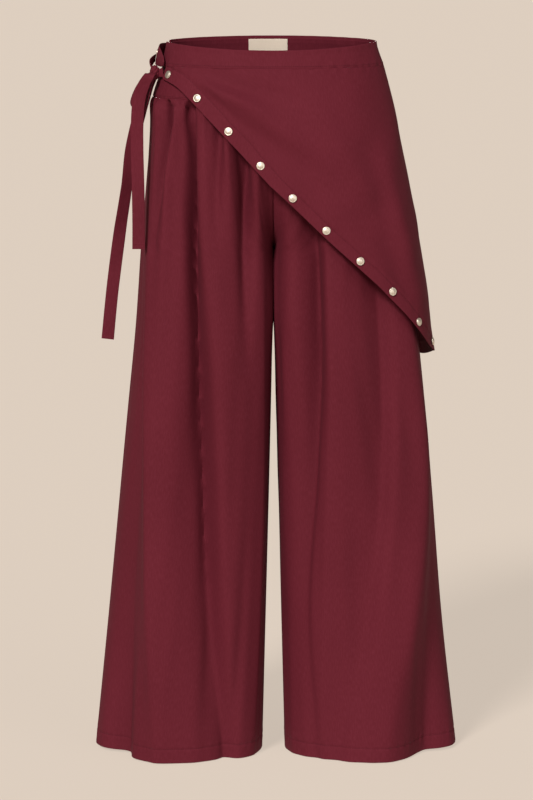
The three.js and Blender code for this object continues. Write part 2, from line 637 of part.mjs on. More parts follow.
// The snaps' places: along the overlay's edge at an even pitch, and in from it by the inset.
function edgeSnaps() {
  const first = EDGE[0].turn;
  const turns = evenly(first, OVERLAY_SEAM + 10, 680);
  const snaps = [];
  let travelled = 0;
  for (let i = 1; i < turns.length && snaps.length < SNAP_COUNT; i += 1) {
    const before = overlayPoint(turns[i - 1], edgeHeight(turns[i - 1]));
    const here = overlayPoint(turns[i], edgeHeight(turns[i]));
    travelled += here.distanceTo(before);
    if (travelled < SNAP_FIRST + SNAP_PITCH * snaps.length) continue;
    const tangent = here.clone().sub(before).normalize();
    const normal = normalOf(overlayPoint, turns[i], here.z, 0.4, 1);
    const inward = normal.clone().cross(tangent).multiplyScalar(SNAP_INSET);
    const perDegree = overlayPoint(turns[i] + 0.5, here.z).sub(overlayPoint(turns[i] - 0.5, here.z));
    const turn = turns[i] + inward.dot(perDegree) / perDegree.lengthSq();
    const z = here.z + inward.z;
    snaps.push(seatedSnap(overlayPoint(turn, z), normalOf(overlayPoint, turn, z, 0.4, 1)));
  }
  return snaps;
}

const wasm = await Module();
wasm.setup();

// A geometry as a solid, with its shared points merged.
function asSolid(geometry) {
  const bare = geometry.clone();
  bare.deleteAttribute("normal");
  bare.deleteAttribute("uv");
  const merged = mergeVertices(bare, 1e-4);
  const vertProperties = Float32Array.from(merged.getAttribute("position").array);
  const triVerts = Uint32Array.from(merged.index.array);
  return new wasm.Manifold(new wasm.Mesh({ numProp: 3, vertProperties, triVerts }));
}

function asGeometry(solid) {
  const { vertProperties, triVerts } = solid.getMesh();
  const geometry = new THREE.BufferGeometry();
  geometry.setAttribute("position", new THREE.BufferAttribute(vertProperties, 3));
  geometry.setIndex(new THREE.BufferAttribute(triVerts, 1));
  return geometry;
}

// A strap whose ends run up to the knot and stop a seam's gap short of it.
function strapToKnot(name) {
  return asGeometry(asSolid(strap(name)).subtract(asSolid(knot(SEAM_GAP))));
}

const group = new THREE.Group();

function add(name, geometry, color, roughness = 0.8, metalness = 0) {
  geometry.computeVertexNormals();
  const mesh = new THREE.Mesh(geometry, new THREE.MeshStandardMaterial({ color, roughness, metalness }));
  mesh.name = name;
  group.add(mesh);
}

for (const [word, side] of [
  ["right", RIGHT],
  ["left", LEFT],
]) {
  add(`trouser_front_${word}`, legPanel(side, 0, 1, FRONT_COLUMNS), COLORS.cloth);
  add(`trouser_back_${word}`, legPanel(side, 1, 2, BACK_COLUMNS), COLORS.cloth);
}

const bands = [
  { name: "waistband_inner_front", table: SECTIONS, first: HALF_SEAM, last: 180 - HALF_SEAM },
  { name: "waistband_inner_back", table: SECTIONS, first: 180 + HALF_SEAM, last: 360 - HALF_SEAM },
  { name: "overlay_band_front", table: OVERLAY, first: OVERLAY_BAND_FIRST, last: 180 - HALF_SEAM },
  { name: "overlay_band_back", table: OVERLAY, first: 180 + HALF_SEAM, last: OVERLAY_BAND_LAST },
];
for (const { name, table, first, last } of bands) {
  const inner = table === SECTIONS;
  const geometry = inner
    ? bandHalf(table, first, last, INNER_RIM_DROP, INNER_BAND_LOW, INNER_BAND_ROWS)
    : bandHalf(table, first, last, 0, OVERLAY_BAND_LOW, 1);
  add(name, geometry, inner ? COLORS.inside : COLORS.cloth);
}
const edgeFirst = EDGE[0].turn;
const edgeLast = EDGE.at(-1).turn;
add("overlay_front", overlayPanel(edgeFirst, OVERLAY_SEAM - HALF_SEAM, OVERLAY_FRONT_COLUMNS), COLORS.cloth);
add("overlay_back", overlayPanel(OVERLAY_SEAM + HALF_SEAM, edgeLast, OVERLAY_BACK_COLUMNS), COLORS.cloth);
add("label", label(), COLORS.label);

add("bow_knot", knot(0), COLORS.strap);
add("hip_tab", strap("hip_tab"), COLORS.cloth);
for (const name of ["tie_front", "tie_back", "bow_loop", "tie_tail_short", "tie_tail_long"]) {
  add(name, strapToKnot(name), COLORS.strap);
}

edgeSnaps().forEach((geometry, i) => {
  add(`snap_${String(i + 1).padStart(2, "0")}`, geometry, COLORS.metal, 0.35, 0.9);
});
const onTab = strapPlace(STRAPS.hip_tab, TAB_SNAP_SHARE);
const tabFace = onTab.face.clone().multiplyScalar(onTab.face.x < 0 ? 1 : -1);
const tabSurface = onTab.middle.clone().addScaledVector(tabFace, CLOTH / 2);
add("snap_tab", seatedSnap(tabSurface, tabFace), COLORS.metal, 0.35, 0.9);

export default group;
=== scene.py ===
"""Wide-leg wrap trousers, hollow and upright as on an unseen wearer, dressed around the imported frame.

The form is worked out in millimetres from short tables: half ovals for the hips that open into whole ovals
for the legs, moved out along their own normals by long folds. The overlay is a smooth oval cut off along a
slanting edge. Each piece of cloth is a grid of points, rows from its top down and columns from its first seam
on, moved in and out by its seams, gathers, creases and stitch lines, and closed into a thin wall with round
edges.

+Z is up, the front faces -Y, and the wearer's right is at -X. The origin is the middle of the waist opening.
"""

import logging
import math
from dataclasses import dataclass, field
from enum import Enum
from typing import Sequence

import bpy
import numpy as np
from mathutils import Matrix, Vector


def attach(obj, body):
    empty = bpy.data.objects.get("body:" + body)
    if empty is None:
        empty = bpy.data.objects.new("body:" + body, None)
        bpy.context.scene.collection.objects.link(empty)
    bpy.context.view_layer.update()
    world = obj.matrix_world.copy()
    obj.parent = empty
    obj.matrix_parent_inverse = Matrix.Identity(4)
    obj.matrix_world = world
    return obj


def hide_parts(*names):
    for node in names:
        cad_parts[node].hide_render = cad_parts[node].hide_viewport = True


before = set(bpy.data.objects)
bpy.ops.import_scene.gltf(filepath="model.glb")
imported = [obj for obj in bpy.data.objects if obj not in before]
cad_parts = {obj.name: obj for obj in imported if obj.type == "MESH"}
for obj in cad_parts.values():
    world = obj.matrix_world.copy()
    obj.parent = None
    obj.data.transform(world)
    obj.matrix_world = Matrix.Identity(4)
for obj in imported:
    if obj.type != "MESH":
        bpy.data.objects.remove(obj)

log = logging.getLogger("wrap_trousers")

MM = 0.001

Array = np.ndarray
Socket = bpy.types.NodeSocket


class Side(Enum):
    """The wearer's right or left, as the sign of x."""

    RIGHT = -1
    LEFT = 1


class Face(Enum):
    """The front or back of the trousers."""

    FRONT = "front"
    BACK = "back"


class Hold(Enum):
    """How a sheet of cloth is held, in the frame's own words."""

    GATHERED = "gathered"
    HUNG = "hung"
    STRETCHED = "stretched"


def curve(places: Array, values: Array, at: Array | float) -> Array:
    """A smooth curve through points: cubic Hermite, each tangent the mean slope weighted by the far step.

    Args:
        places: where the points are, rising or falling.
        values: their values.
        at: where to read the curve. Past its ends it stays level.

    Returns:
        The values at those places.
    """
    sign = np.sign(places[1] - places[0])
    places = places * sign
    where = np.clip(np.asarray(at, float) * sign, places[0], places[-1])
    step = np.diff(places)
    slope = np.diff(values) / step
    inner = (step[1:] * slope[:-1] + step[:-1] * slope[1:]) / (step[1:] + step[:-1])
    tangent = np.concatenate([slope[:1], inner, slope[-1:]])
    i = np.clip(np.searchsorted(places, where, side="left") - 1, 0, len(step) - 1)
    t = (where - places[i]) / step[i]
    back = 1 - t
    ends = back**2 * (1 + 2 * t) * values[i] + t**2 * (3 - 2 * t) * values[i + 1]
    return ends + t * back * step[i] * (back * tangent[i] - t * tangent[i + 1])


@dataclass(frozen=True)
class Table:
    """A short table of numbers with named columns."""

    names: tuple[str, ...]
    rows: tuple[tuple[float, ...], ...]

    def column(self, name: str) -> Array:
        """One column's numbers."""
        return np.array([row[self.names.index(name)] for row in self.rows], float)

    def through(self, key: str, name: str, at: Array | float) -> Array:
        """A smooth curve through the rows.

        Args:
            key: the column that the curve runs along, rising or falling.
            name: the column to read.
            at: where to read it.

        Returns:
            The values at those places.
        """
        return curve(self.column(key), self.column(name), at)


@dataclass(frozen=True)
class Fold:
    """A long fold.

    x and rise are its distance from the middle and its height in mm at each of the fold levels. low and high
    are the widths in mm of its two flanks, towards lower and higher places, and edge is the sharpness of its
    crest: 2 is round.
    """

    x: tuple[float, ...]
    rise: tuple[float, ...]
    low: float
    high: float
    edge: float


CLOTH = 1.5
BAND_CLOTH = 2.0
RIM_FRONT, RIM_SIDE, RIM_BACK = -4.5, 4.0, 6.5
INNER_RIM_DROP = 3.0
INNER_BAND_LOW = -75.0
OVERLAY_BAND_LOW = -30.0
FORK_TOP, FORK, FORK_BREADTH = -105.0, -290.0, 0.11
THIGH_LOW = -470.0
HEM = -1028.0
HEM_SIDE_RISE, HEM_RISE_BREADTH, HEM_RISE_FROM = 4.0, 0.3, -800.0
SEAM_GAP = 0.3
SEAM_PLACE = 0.00002
HALF_SEAM = 0.01
LAYER_GAP = 0.4
HIP_POWER, LEG_POWER_ACROSS, LEG_POWER_DEEP = 0.95, 0.9, 0.85

SECTIONS = Table(
    ("z", "right", "left", "front", "back"),
    (
        (10, 150, 143, -93, 93),
        (0, 151.5, 144.5, -95, 95),
        (-30, 158.5, 154, -101, 102),
        (-75, 173, 165, -108, 112),
        (-130, 175.5, 173.5, -112, 118),
        (-200, 181.5, 183.5, -114, 121),
        (-290, 189.5, 194, -114, 119),
        (-385, 197.5, 204.5, -112, 113),
        (-515, 210.5, 219, -108, 107),
        (-645, 223.5, 231.5, -106, 104),
        (-810, 240, 246, -105, 102),
        (-1028, 262, 270, -105, 100),
    ),
)
INSEAM = Table(
    ("z", "x", "press"),
    (
        (10, 0.15, 0),
        (-200, 0.15, 0),
        (-250, 0.15, 0),
        (-290, 0.2, 3),
        (-325, 0.25, 9),
        (-360, 0.35, 12),
        (-390, 0.6, 12),
        (-415, 1.5, 9),
        (-445, 2.4, 6),
        (-480, 3.1, 4),
        (-645, 6.9, 0),
        (-810, 10.9, 0),
        (-1030, 16.5, 0),
    ),
)
OVERLAY = Table(
    ("z", "right", "left", "front", "back", "power"),
    (
        (8, 154, 146.5, -97, 97, 0.95),
        (0, 155, 147.5, -98, 98, 0.95),
        (-30, 162.5, 157, -105, 105, 0.94),
        (-77, 178, 169.5, -117, 119, 0.9),
        (-146, 188, 184, -126, 130, 0.84),
        (-194, 196, 194, -130, 135, 0.8),
        (-249, 205, 204.5, -133, 139.5, 0.76),
        (-336, 219, 219, -137, 143.5, 0.72),
        (-413, 229, 228.5, -140, 146, 0.7),
        (-440, 232, 232, -141, 147, 0.7),
        (-520, 240, 241, -144, 149, 0.68),
    ),
)
EDGE = Table(
    ("turn", "z"),
    (
        (20, -46.5), (41.4, -60.5), (55.8, -85), (70.7, -122), (84.3, -167), (88, -183.7), (89, -189.2),
        (90, -196.6), (91, -204), (92, -209.5), (93.6, -217.5), (103.1, -260.5), (116.5, -307.5),
        (128.9, -344.5), (138.9, -371.5), (149.5, -398), (159.4, -418), (174.4, -437), (190, -450),
        (208, -458), (223, -450), (236, -422), (248, -380), (258, -333), (267, -284), (276, -236),
        (287, -190), (300, -145), (314, -104), (327, -73), (340, -50),
    ),
)
EDGE_FIRST, OVERLAY_SEAM, EDGE_LAST = 20.0, 180.0, 340.0
OVERLAY_BAND_FIRST, OVERLAY_BAND_LAST = 8.0, 346.0

FOLD_LEVELS = (-105, -190, -290, -440, -600, -800, -1028)
FOLD_READ_ROWS, FOLD_READ_PLACES = 160, 240
GATHER_DROP = 14.0
SEAM_CALM = 14.0
FOLDS = {
    (Side.RIGHT, Face.FRONT): (
        Fold((174, 175, 178, 178, 177, 176, 170), (0, 5, 11, 14, 17, 17, 10), 58, 12, 1.6),
        Fold((172, 178, 183, 192, 203, 217, 232), (0, -2, -6, -11, -13, -18, -33), 28, 48, 2.2),
        Fold((163, 166, 170, 172, 172, 172, 172), (7, 3, 0, 0, 0, 0, 0), 8, 8, 1.8),
        Fold((147, 158, 166, 168, 168, 168, 168), (-16, -10, -3, 0, 0, 0, 0), 8, 9, 2),
        Fold((135, 146, 152, 160, 162, 163, 163), (10, 11, 6, 0, 0, 0, 0), 10, 11, 1.6),
        Fold((126, 131, 131, 131, 131, 131, 131), (-3, 0, 0, 0, 0, 0, 0), 7, 8, 2),
        Fold((121, 123, 123, 123, 123, 123, 123), (5, 0, 0, 0, 0, 0, 0), 6, 6, 2),
        Fold((117, 116, 114, 107, 100, 94, 90), (-20, -28, -25, -18, -11, -3, 0), 8, 9, 2),
        Fold((114, 115, 113, 105, 98, 88, 67), (0, -3, -10, -20, -26, -24, -11), 12, 34, 1.6),
        Fold((104, 105, 101, 89, 80, 71, 50), (5, 10, 13, 14, 13, 8, 2), 68, 11, 1.6),
        Fold((77, 79, 80, 80, 80, 80, 80), (-16, -8, 0, 0, 0, 0, 0), 6, 9, 2),
        Fold((63, 63, 63, 63, 63, 63, 63), (3, 3, 0, 0, 0, 0, 0), 7, 7, 2),
        Fold((41, 40, 40, 42, 44, 50, 63), (-16, -26, -16, -2, 0, -3, -6), 8, 13, 2),
        Fold((28, 26, 26, 26, 26, 26, 26), (3, 4, 1, 0, 0, 0, 0), 6, 7, 2),
        Fold((24, 23, 22, 22, 24, 28, 34), (4, 5, 5, 7, 8, 8, 4), 12, 30, 1.8),
    ),
    (Side.RIGHT, Face.BACK): (
        Fold((172, 178, 184, 186, 194, 204, 213), (2, 4, 6, 8, 10, 11, 12), 44, 20, 1.6),
        Fold((160, 166, 172, 170, 168, 170, 172), (-4, -5, -4, -6, -8, -10, -12), 16, 32, 2),
        Fold((138, 143, 146, 130, 114, 108, 104), (4, 9, 11, 13, 12, 10, 8), 12, 56, 1.5),
        Fold((107, 111, 110, 90, 76, 70, 64), (-4, -5, -5, -6, -6, -7, -7), 20, 14, 2),
        Fold((72, 75, 74, 56, 42, 38, 37), (2, 7, 9, 9, 8, 6, 5), 16, 26, 1.7),
        Fold((36, 38, 34, 20, 14, 15, 20), (2, 4, 3, 0, 0, 0, 0), 13, 13, 1.8),
    ),
    (Side.LEFT, Face.FRONT): (
        Fold((20, 22, 24, 20, 18, 16, 16), (4, 6, 7, 6, 4, 1, 0), 16, 22, 1.8),
        Fold((55, 55, 57, 61, 55, 45, 60), (-4, -10, -22, -23, -15, -7, -3), 22, 9, 2),
        Fold((72, 72, 76, 81, 79, 72, 70), (4, 8, 13, 13, 9, 3, 1), 9, 62, 1.5),
        Fold((132, 132, 144, 158, 158, 134, 88), (-4, -7, -14, -19, -18, -12, -6), 40, 13, 2),
        Fold((163, 163, 174, 195, 212, 204, 160), (0, 4, 10, 14, 15, 12, 7), 26, 30, 1.8),
        Fold((176, 184, 190, 200, 214, 230, 242), (0, -2, -3, -4, -5, -10, -36), 58, 50, 2.2),
    ),
    (Side.LEFT, Face.BACK): (
        Fold((170, 181, 190, 194, 203, 213, 222), (2, 4, 6, 8, 10, 11, 12), 40, 20, 1.6),
        Fold((156, 166, 174, 172, 174, 178, 180), (-4, -5, -4, -6, -8, -10, -12), 16, 30, 2),
        Fold((137, 145, 152, 140, 118, 112, 110), (4, 9, 11, 13, 12, 10, 9), 13, 54, 1.5),
        Fold((108, 113, 114, 96, 80, 74, 68), (-4, -5, -5, -6, -6, -7, -7), 20, 14, 2),
        Fold((75, 79, 78, 62, 48, 42, 42), (2, 7, 9, 9, 8, 6, 5), 18, 26, 1.7),
        Fold((38, 40, 36, 24, 18, 17, 22), (2, 4, 3, 0, 0, 0, 0), 13, 13, 1.8),
    ),
}


def ease(a: float, b: float, v: Array | float) -> Array:
    """0 at a and 1 at b, level at both: t squared times (3 - 2t)."""
    t = np.clip((v - a) / (b - a), 0, 1)
    return t * t * (3 - 2 * t)


def mix(a: Array | float, b: Array | float, share: Array | float) -> Array:
    """The value that lies share of the way from a to b."""
    return a + (b - a) * share


def bump(away: Array, width: float | Array, edge: float = 2.0) -> Array:
    """A ridge of height 1: e to the power of minus (distance over width) to the power of edge."""
    return np.exp(-((np.abs(away) / width) ** edge))


def signed_power(v: Array, power: float | Array) -> Array:
    """v's size raised to power, with v's own sign."""
    return np.sign(v) * np.abs(v) ** power


def unit(v: Array) -> Array:
    """Each vector along the last axis, at length 1."""
    return v / np.maximum(np.linalg.norm(v, axis=-1, keepdims=True), 1e-9)


def crowded(first: float, last: float, count: int, crowd: float) -> Array:
    """Places from first to last that lie closer together at both ends: t minus crowd times sin(2 pi t).

    Args:
        first: the first place.
        last: the last place.
        count: how many places there are.
        crowd: 0 is even, and towards 1 / (2 pi) the ends crowd.

    Returns:
        The places.
    """
    t = np.linspace(0, 1, count)
    return mix(first, last, t - crowd * np.sin(2 * math.pi * t))


@dataclass(frozen=True)
class Ripple:
    """Soft uneven waves in cloth: a sum of seeded sines, long down the cloth and short across it."""

    count: int
    across: tuple[float, float]
    down: tuple[float, float]
    height: float

    def at(self, seed: int, across: Array, down: Array) -> Array:
        """The waves' height in mm.

        Args:
            seed: what the sines are drawn from.
            across: mm across the cloth.
            down: mm down the cloth.

        Returns:
            The sum of height / sqrt(count) times sin(2 pi (across / a + down / d) + phase).
        """
        draw = np.random.default_rng(seed)
        total = np.zeros(np.broadcast(across, down).shape)
        for _ in range(self.count):
            a = draw.uniform(*self.across)
            d = draw.uniform(*self.down) * draw.choice((-1, 1))
            total += np.sin(2 * math.pi * (across / a + down / d) + draw.uniform(0, 2 * math.pi))
        return total * self.height / math.sqrt(self.count)


GATHERS = Ripple(count=9, across=(9, 24), down=(300, 900), height=2.8)
LEG_RIPPLES = Ripple(count=26, across=(24, 80), down=(500, 1800), height=0.6)
HEM_PUCKERS = Ripple(count=7, across=(8, 17), down=(200, 600), height=0.45)
BAND_PUCKERS = Ripple(count=9, across=(11, 30), down=(80, 300), height=0.45)
BAND_SWELLS = Ripple(count=8, across=(50, 140), down=(60, 200), height=0.35)
OVERLAY_SWELLS = Ripple(count=16, across=(60, 170), down=(120, 420), height=0.7)
OVERLAY_PUCKERS = Ripple(count=9, across=(10, 24), down=(60, 200), height=0.35)
STRAP_SWAY = Ripple(count=5, across=(35, 110), down=(500, 900), height=0.5)
LABEL_WAVES = Ripple(count=5, across=(18, 50), down=(60, 200), height=0.15)


@dataclass(frozen=True)
class TrouserForm:
    """The outside of the trousers on one side of the wearer."""

    side: Side

    def leg_share(self, place: Array, z: Array) -> Array:
        """How far the hip's half oval has changed into the leg's whole oval.

        It eases down the thigh, and runs along a quarter circle beside the middle seams, which close there
        into the fork.
        """
        u = np.clip((FORK_TOP - z) / (FORK_TOP - FORK), 0, 1)
        fork = 1 - np.sqrt(1 - u * u)
        beside = bump(place, FORK_BREADTH) + bump(2 - place, FORK_BREADTH)
        return mix(ease(FORK_TOP, THIGH_LOW, z), fork, beside)

    def section(self, place: Array, z: Array) -> tuple[Array, Array, Array, Array]:
        """The outline without folds: superellipses of hip and leg, mixed by leg_share.

        Args:
            place: 0 at the middle front or the inseam, 1 at the side seam and 2 at the middle back.
            z: the height in mm.

        Returns:
            x on the positive side, y, the inseam's x, and the mm that one unit of place measures.
        """
        out = SECTIONS.through("z", "right" if self.side is Side.RIGHT else "left", z)
        front, back = SECTIONS.through("z", "front", z), SECTIONS.through("z", "back", z)
        plane = np.where(place < 1, front, back)
        inseam = INSEAM.through("z", "x", z)
        start = inseam - INSEAM.through("z", "press", z)
        angle = place * math.pi / 2
        hip_x = inseam + (out - inseam) * np.abs(np.sin(angle)) ** HIP_POWER
        hip_y = plane * np.abs(np.cos(angle)) ** HIP_POWER
        leg_x = (start + out) / 2 - (out - start) / 2 * signed_power(np.cos(2 * angle), LEG_POWER_ACROSS)
        leg_y = plane * np.abs(np.sin(2 * angle)) ** LEG_POWER_DEEP
        share = self.leg_share(place, z)
        hip_length = math.pi / 4 * (out + np.abs(plane))
        leg_length = math.pi / 4 * (out - start + 2 * np.abs(plane))
        return mix(hip_x, leg_x, share), mix(hip_y, leg_y, share), inseam, mix(hip_length, leg_length, share)

    def fold_place(self, fold: Fold, face: Face, z: Array) -> Array:
        """The place of a fold at z, where the plain outline reaches the fold's x.

        Args:
            fold: the fold.
            face: the side of the trousers that it is on.
            z: heights in mm.

        Returns:
            Its places: read off the outline at fine steps of height and place, and joined by straight lines.
        """
        levels = np.array(FOLD_LEVELS, float)
        heights = np.linspace(INNER_BAND_LOW, levels[-1], FOLD_READ_ROWS)
        x = curve(levels, np.array(fold.x, float), heights)
        shares = np.linspace(0, 1, FOLD_READ_PLACES)
        around = shares if face is Face.FRONT else 2 - shares
        outline = self.section(*np.broadcast_arrays(around[None], heights[:, None]))[0]
        k = np.clip((outline < x[:, None]).sum(axis=1), 1, len(shares) - 1)
        rows = np.arange(len(heights))
        low, high = outline[rows, k - 1], outline[rows, k]
        part = np.clip((x - low) / np.maximum(high - low, 1e-6), 0, 1)
        return np.interp(-z, -heights, mix(around[k - 1], around[k], part))

    def fold_lift(self, place: Array, z: Array, length: Array) -> Array:
        """How far the folds lift the cloth: the sum of each one's rise times its ridge, calm at the seams."""
        lift = np.zeros(np.broadcast(place, z).shape)
        levels = np.array(FOLD_LEVELS, float)
        for face in Face:
            for fold in FOLDS[self.side, face]:
                away = (place - self.fold_place(fold, face, z)) * length
                width = np.where(away < 0, fold.low, fold.high)
                lift += curve(levels, np.array(fold.rise, float), z) * bump(away, width, fold.edge)
        calm = ease(0, SEAM_CALM, place * length) * ease(0, SEAM_CALM, (2 - place) * length)
        return lift * calm * ease(INNER_BAND_LOW, INNER_BAND_LOW - GATHER_DROP, z)

    def point(self, place: Array, z: Array) -> Array:
        """Points on the outside: the outline moved out along its own normal by the folds.

        Args:
            place: the place round the half, as for section.
            z: the height in mm.

        Returns:
            The points in mm, along a new last axis.
        """
        place, z = np.broadcast_arrays(np.asarray(place, float), np.asarray(z, float))
        step = 0.001
        middle = np.clip(place, 2 * step, 2 - 2 * step)
        x, y, inseam, length = self.section(place, z)
        before, after = self.section(middle - step, z), self.section(middle + step, z)
        run_x, run_y = after[0] - before[0], after[1] - before[1]
        run = np.hypot(run_x, run_y)
        lift = self.fold_lift(place, z, length)
        x = np.maximum(x + run_y / run * lift, inseam)
        y = y - run_x / run * lift
        rise = HEM_SIDE_RISE * bump(place - 1, HEM_RISE_BREADTH) * ease(HEM_RISE_FROM, HEM, z)
        return np.stack([self.side.value * x, y, z + rise], -1)


@dataclass(frozen=True)
class OvalForm:
    """A smooth oval body from a table, by degrees of turn.

    0 is the wearer's right, 90 the middle front, 180 the left and 270 the middle back.
    """

    table: Table

    def point(self, turn: Array, z: Array) -> Array:
        """Points on the oval: a superellipse with its own half width or plane in each quarter.

        Args:
            turn: degrees round the body.
            z: the height in mm.

        Returns:
            The points in mm, along a new last axis.
        """
        turn, z = np.broadcast_arrays(np.asarray(turn, float), np.asarray(z, float))
        across, along = np.cos(np.radians(turn)), np.sin(np.radians(turn))
        table = self.table
        width = np.where(across > 0, table.through("z", "right", z), table.through("z", "left", z))
        plane = np.where(along > 0, table.through("z", "front", z), table.through("z", "back", z))
        power = table.through("z", "power", z) if "power" in table.names else HIP_POWER
        return np.stack([-width * signed_power(across, power), plane * np.abs(along) ** power, z], -1)


def rim_height(turn: Array) -> Array:
    """The waist rim's height at a turn, from the side's to the front's or back's by sin squared."""
    along = np.sin(np.radians(turn))
    return mix(RIM_SIDE, np.where(along > 0, RIM_FRONT, RIM_BACK), along**2)


def piece_from(
    name: str, points: Array, faces: Sequence[Array], uv: Array, crisp: float = 50.0
) -> bpy.types.Object:
    """A mesh object from whole arrays.

    Args:
        name: the object's name.
        points: the vertices in mm.
        faces: arrays of corner indices, each array for faces with one number of corners.
        uv: each vertex's place on the cloth, in metres.
        crisp: the angle in degrees past which an edge is sharp.

    Returns:
        The new object, with its place in its mesh.
    """
    corners = np.concatenate([f.ravel() for f in faces]).astype(np.int32)
    sizes = np.concatenate([np.full(len(f), f.shape[1]) for f in faces])
    starts = np.concatenate([[0], np.cumsum(sizes)[:-1]]).astype(np.int32)
    mesh = bpy.data.meshes.new(name)
    mesh.vertices.add(len(points))
    mesh.vertices.foreach_set("co", (points * MM).astype(np.float32).ravel())
    mesh.loops.add(len(corners))
    mesh.loops.foreach_set("vertex_index", corners)
    mesh.polygons.add(len(sizes))
    mesh.polygons.foreach_set("loop_start", starts)
    mesh.update(calc_edges=True)
    layer = mesh.uv_layers.new(name="cloth")
    layer.uv.foreach_set("vector", uv[corners].astype(np.float32).ravel())
    mesh.shade_smooth()
    mesh.set_sharp_from_angle(angle=math.radians(crisp))
    made = bpy.data.objects.new(name, mesh)
    bpy.context.scene.collection.objects.link(made)
    return made


def grid_quads(rows: int, columns: int, round_rows: bool, round_columns: bool) -> Array:
    """The quads of a grid of vertices, row by row, closed on itself where it is round."""
    r, c = np.meshgrid(
        np.arange(rows if round_rows else rows - 1),
        np.arange(columns if round_columns else columns - 1),
        indexing="ij",
    )
    below, beside = (r + 1) % rows, (c + 1) % columns
    return np.stack(
        [r * columns + c, below * columns + c, below * columns + beside, r * columns + beside], -1
    ).reshape(-1, 4)


class Cloth:
    """A stretch of cloth: a grid of points in mm, rows from its top down and columns from its first seam."""

    EDGE_STEPS = 3

    def __init__(self, points: Array, clockwise: bool) -> None:
        """Keeps the grid, its outward normals and its distances along the cloth.

        Args:
            points: rows, columns and 3.
            clockwise: the columns run clockwise as seen from above.
        """
        self.points = points
        self.clockwise = clockwise
        down, beside = np.gradient(points, axis=0), np.gradient(points, axis=1)
        self.tangent_down = unit(down)
        self.normals = unit(np.cross(beside, down) * (1 if clockwise else -1))
        steps = np.linalg.norm(np.diff(points, axis=1), axis=-1)
        self.from_first = np.concatenate([np.zeros((len(points), 1)), np.cumsum(steps, axis=1)], axis=1)
        self.from_last = self.from_first[:, -1:] - self.from_first
        falls = np.linalg.norm(np.diff(points, axis=0), axis=-1)
        self.from_top = np.concatenate([np.zeros((1, points.shape[1])), np.cumsum(falls, axis=0)], axis=0)
        self.from_foot = self.from_top[-1:] - self.from_top

    def moved(self, lift: Array) -> "Cloth":
        """The cloth moved out along its normals by lift, in mm."""
        return Cloth(self.points + self.normals * lift[..., None], self.clockwise)

    def calm(self, width: float) -> Array:
        """0 at the first and last seams, easing to 1 at width mm from them."""
        return ease(0, width, self.from_first) * ease(0, width, self.from_last)

    def seam_roll(self, depth: float, width: float) -> Array:
        """A groove beside the first and last seams: minus depth times a ridge of that width."""
        return -depth * (bump(self.from_first, width) + bump(self.from_last, width))

    def shell(self, name: str, wall: float | Array, level_edges: bool = True) -> bpy.types.Object:
        """A closed wall under this cloth, with round top and bottom edges and flat seam edges.

        The grid goes down the outside, round the foot on a half circle, up the inside and round the top.

        Args:
            name: the object's name.
            wall: the thickness in mm, one number or one for each point.
            level_edges: the first and last rows' inside lies level with their outside.

        Returns:
            The new object.
        """
        rows, columns = self.points.shape[:2]
        wall = np.broadcast_to(np.asarray(wall, float), (rows, columns))[..., None]
        normals = self.normals.copy()
        if level_edges:
            normals[[0, -1], :, 2] = 0
            normals = unit(normals)
        inner = self.points - normals * wall
        angles = np.linspace(0, math.pi, self.EDGE_STEPS + 2)[1:-1]

        def edge(row: int, away: float) -> Array:
            """Points round one edge: the wall's middle plus cos and sin of the angle times half the wall."""
            middle = (self.points[row] + inner[row]) / 2
            half = normals[row] * wall[row] / 2
            past = self.tangent_down[row] * away * wall[row] / 2
            turn = angles if away > 0 else angles[::-1]
            return np.stack([middle + half * math.cos(a) + past * math.sin(a) for a in turn])

        loop = np.concatenate([self.points, edge(-1, 1.0), inner[::-1], edge(0, -1.0)])
        flat = np.stack([self.from_first - self.from_first[:, -1:] / 2, -self.from_top], -1)
        ends = np.repeat(flat[-1:], self.EDGE_STEPS, axis=0), np.repeat(flat[:1], self.EDGE_STEPS, axis=0)
        uv = np.concatenate([flat, ends[0], flat[::-1], ends[1]]) * MM
        total = len(loop)
        quads = grid_quads(total, columns, True, False)
        outer_rows = np.arange(rows - 1)
        inner_rows = total - self.EDGE_STEPS - 1 - outer_rows
        side = np.stack([outer_rows + 1, outer_rows, inner_rows, inner_rows - 1], -1) * columns
        foot = np.arange(rows + self.EDGE_STEPS, rows - 2, -1)[None] * columns
        top = (np.arange(total, total - self.EDGE_STEPS - 2, -1) % total)[None] * columns
        last = columns - 1
        faces = [quads, side, side[:, ::-1] + last, foot, foot[:, ::-1] + last, top, top[:, ::-1] + last]
        if self.clockwise:
            faces = [f[:, ::-1] for f in faces]
        return piece_from(name, loop.reshape(-1, 3), faces, uv.reshape(-1, 2))


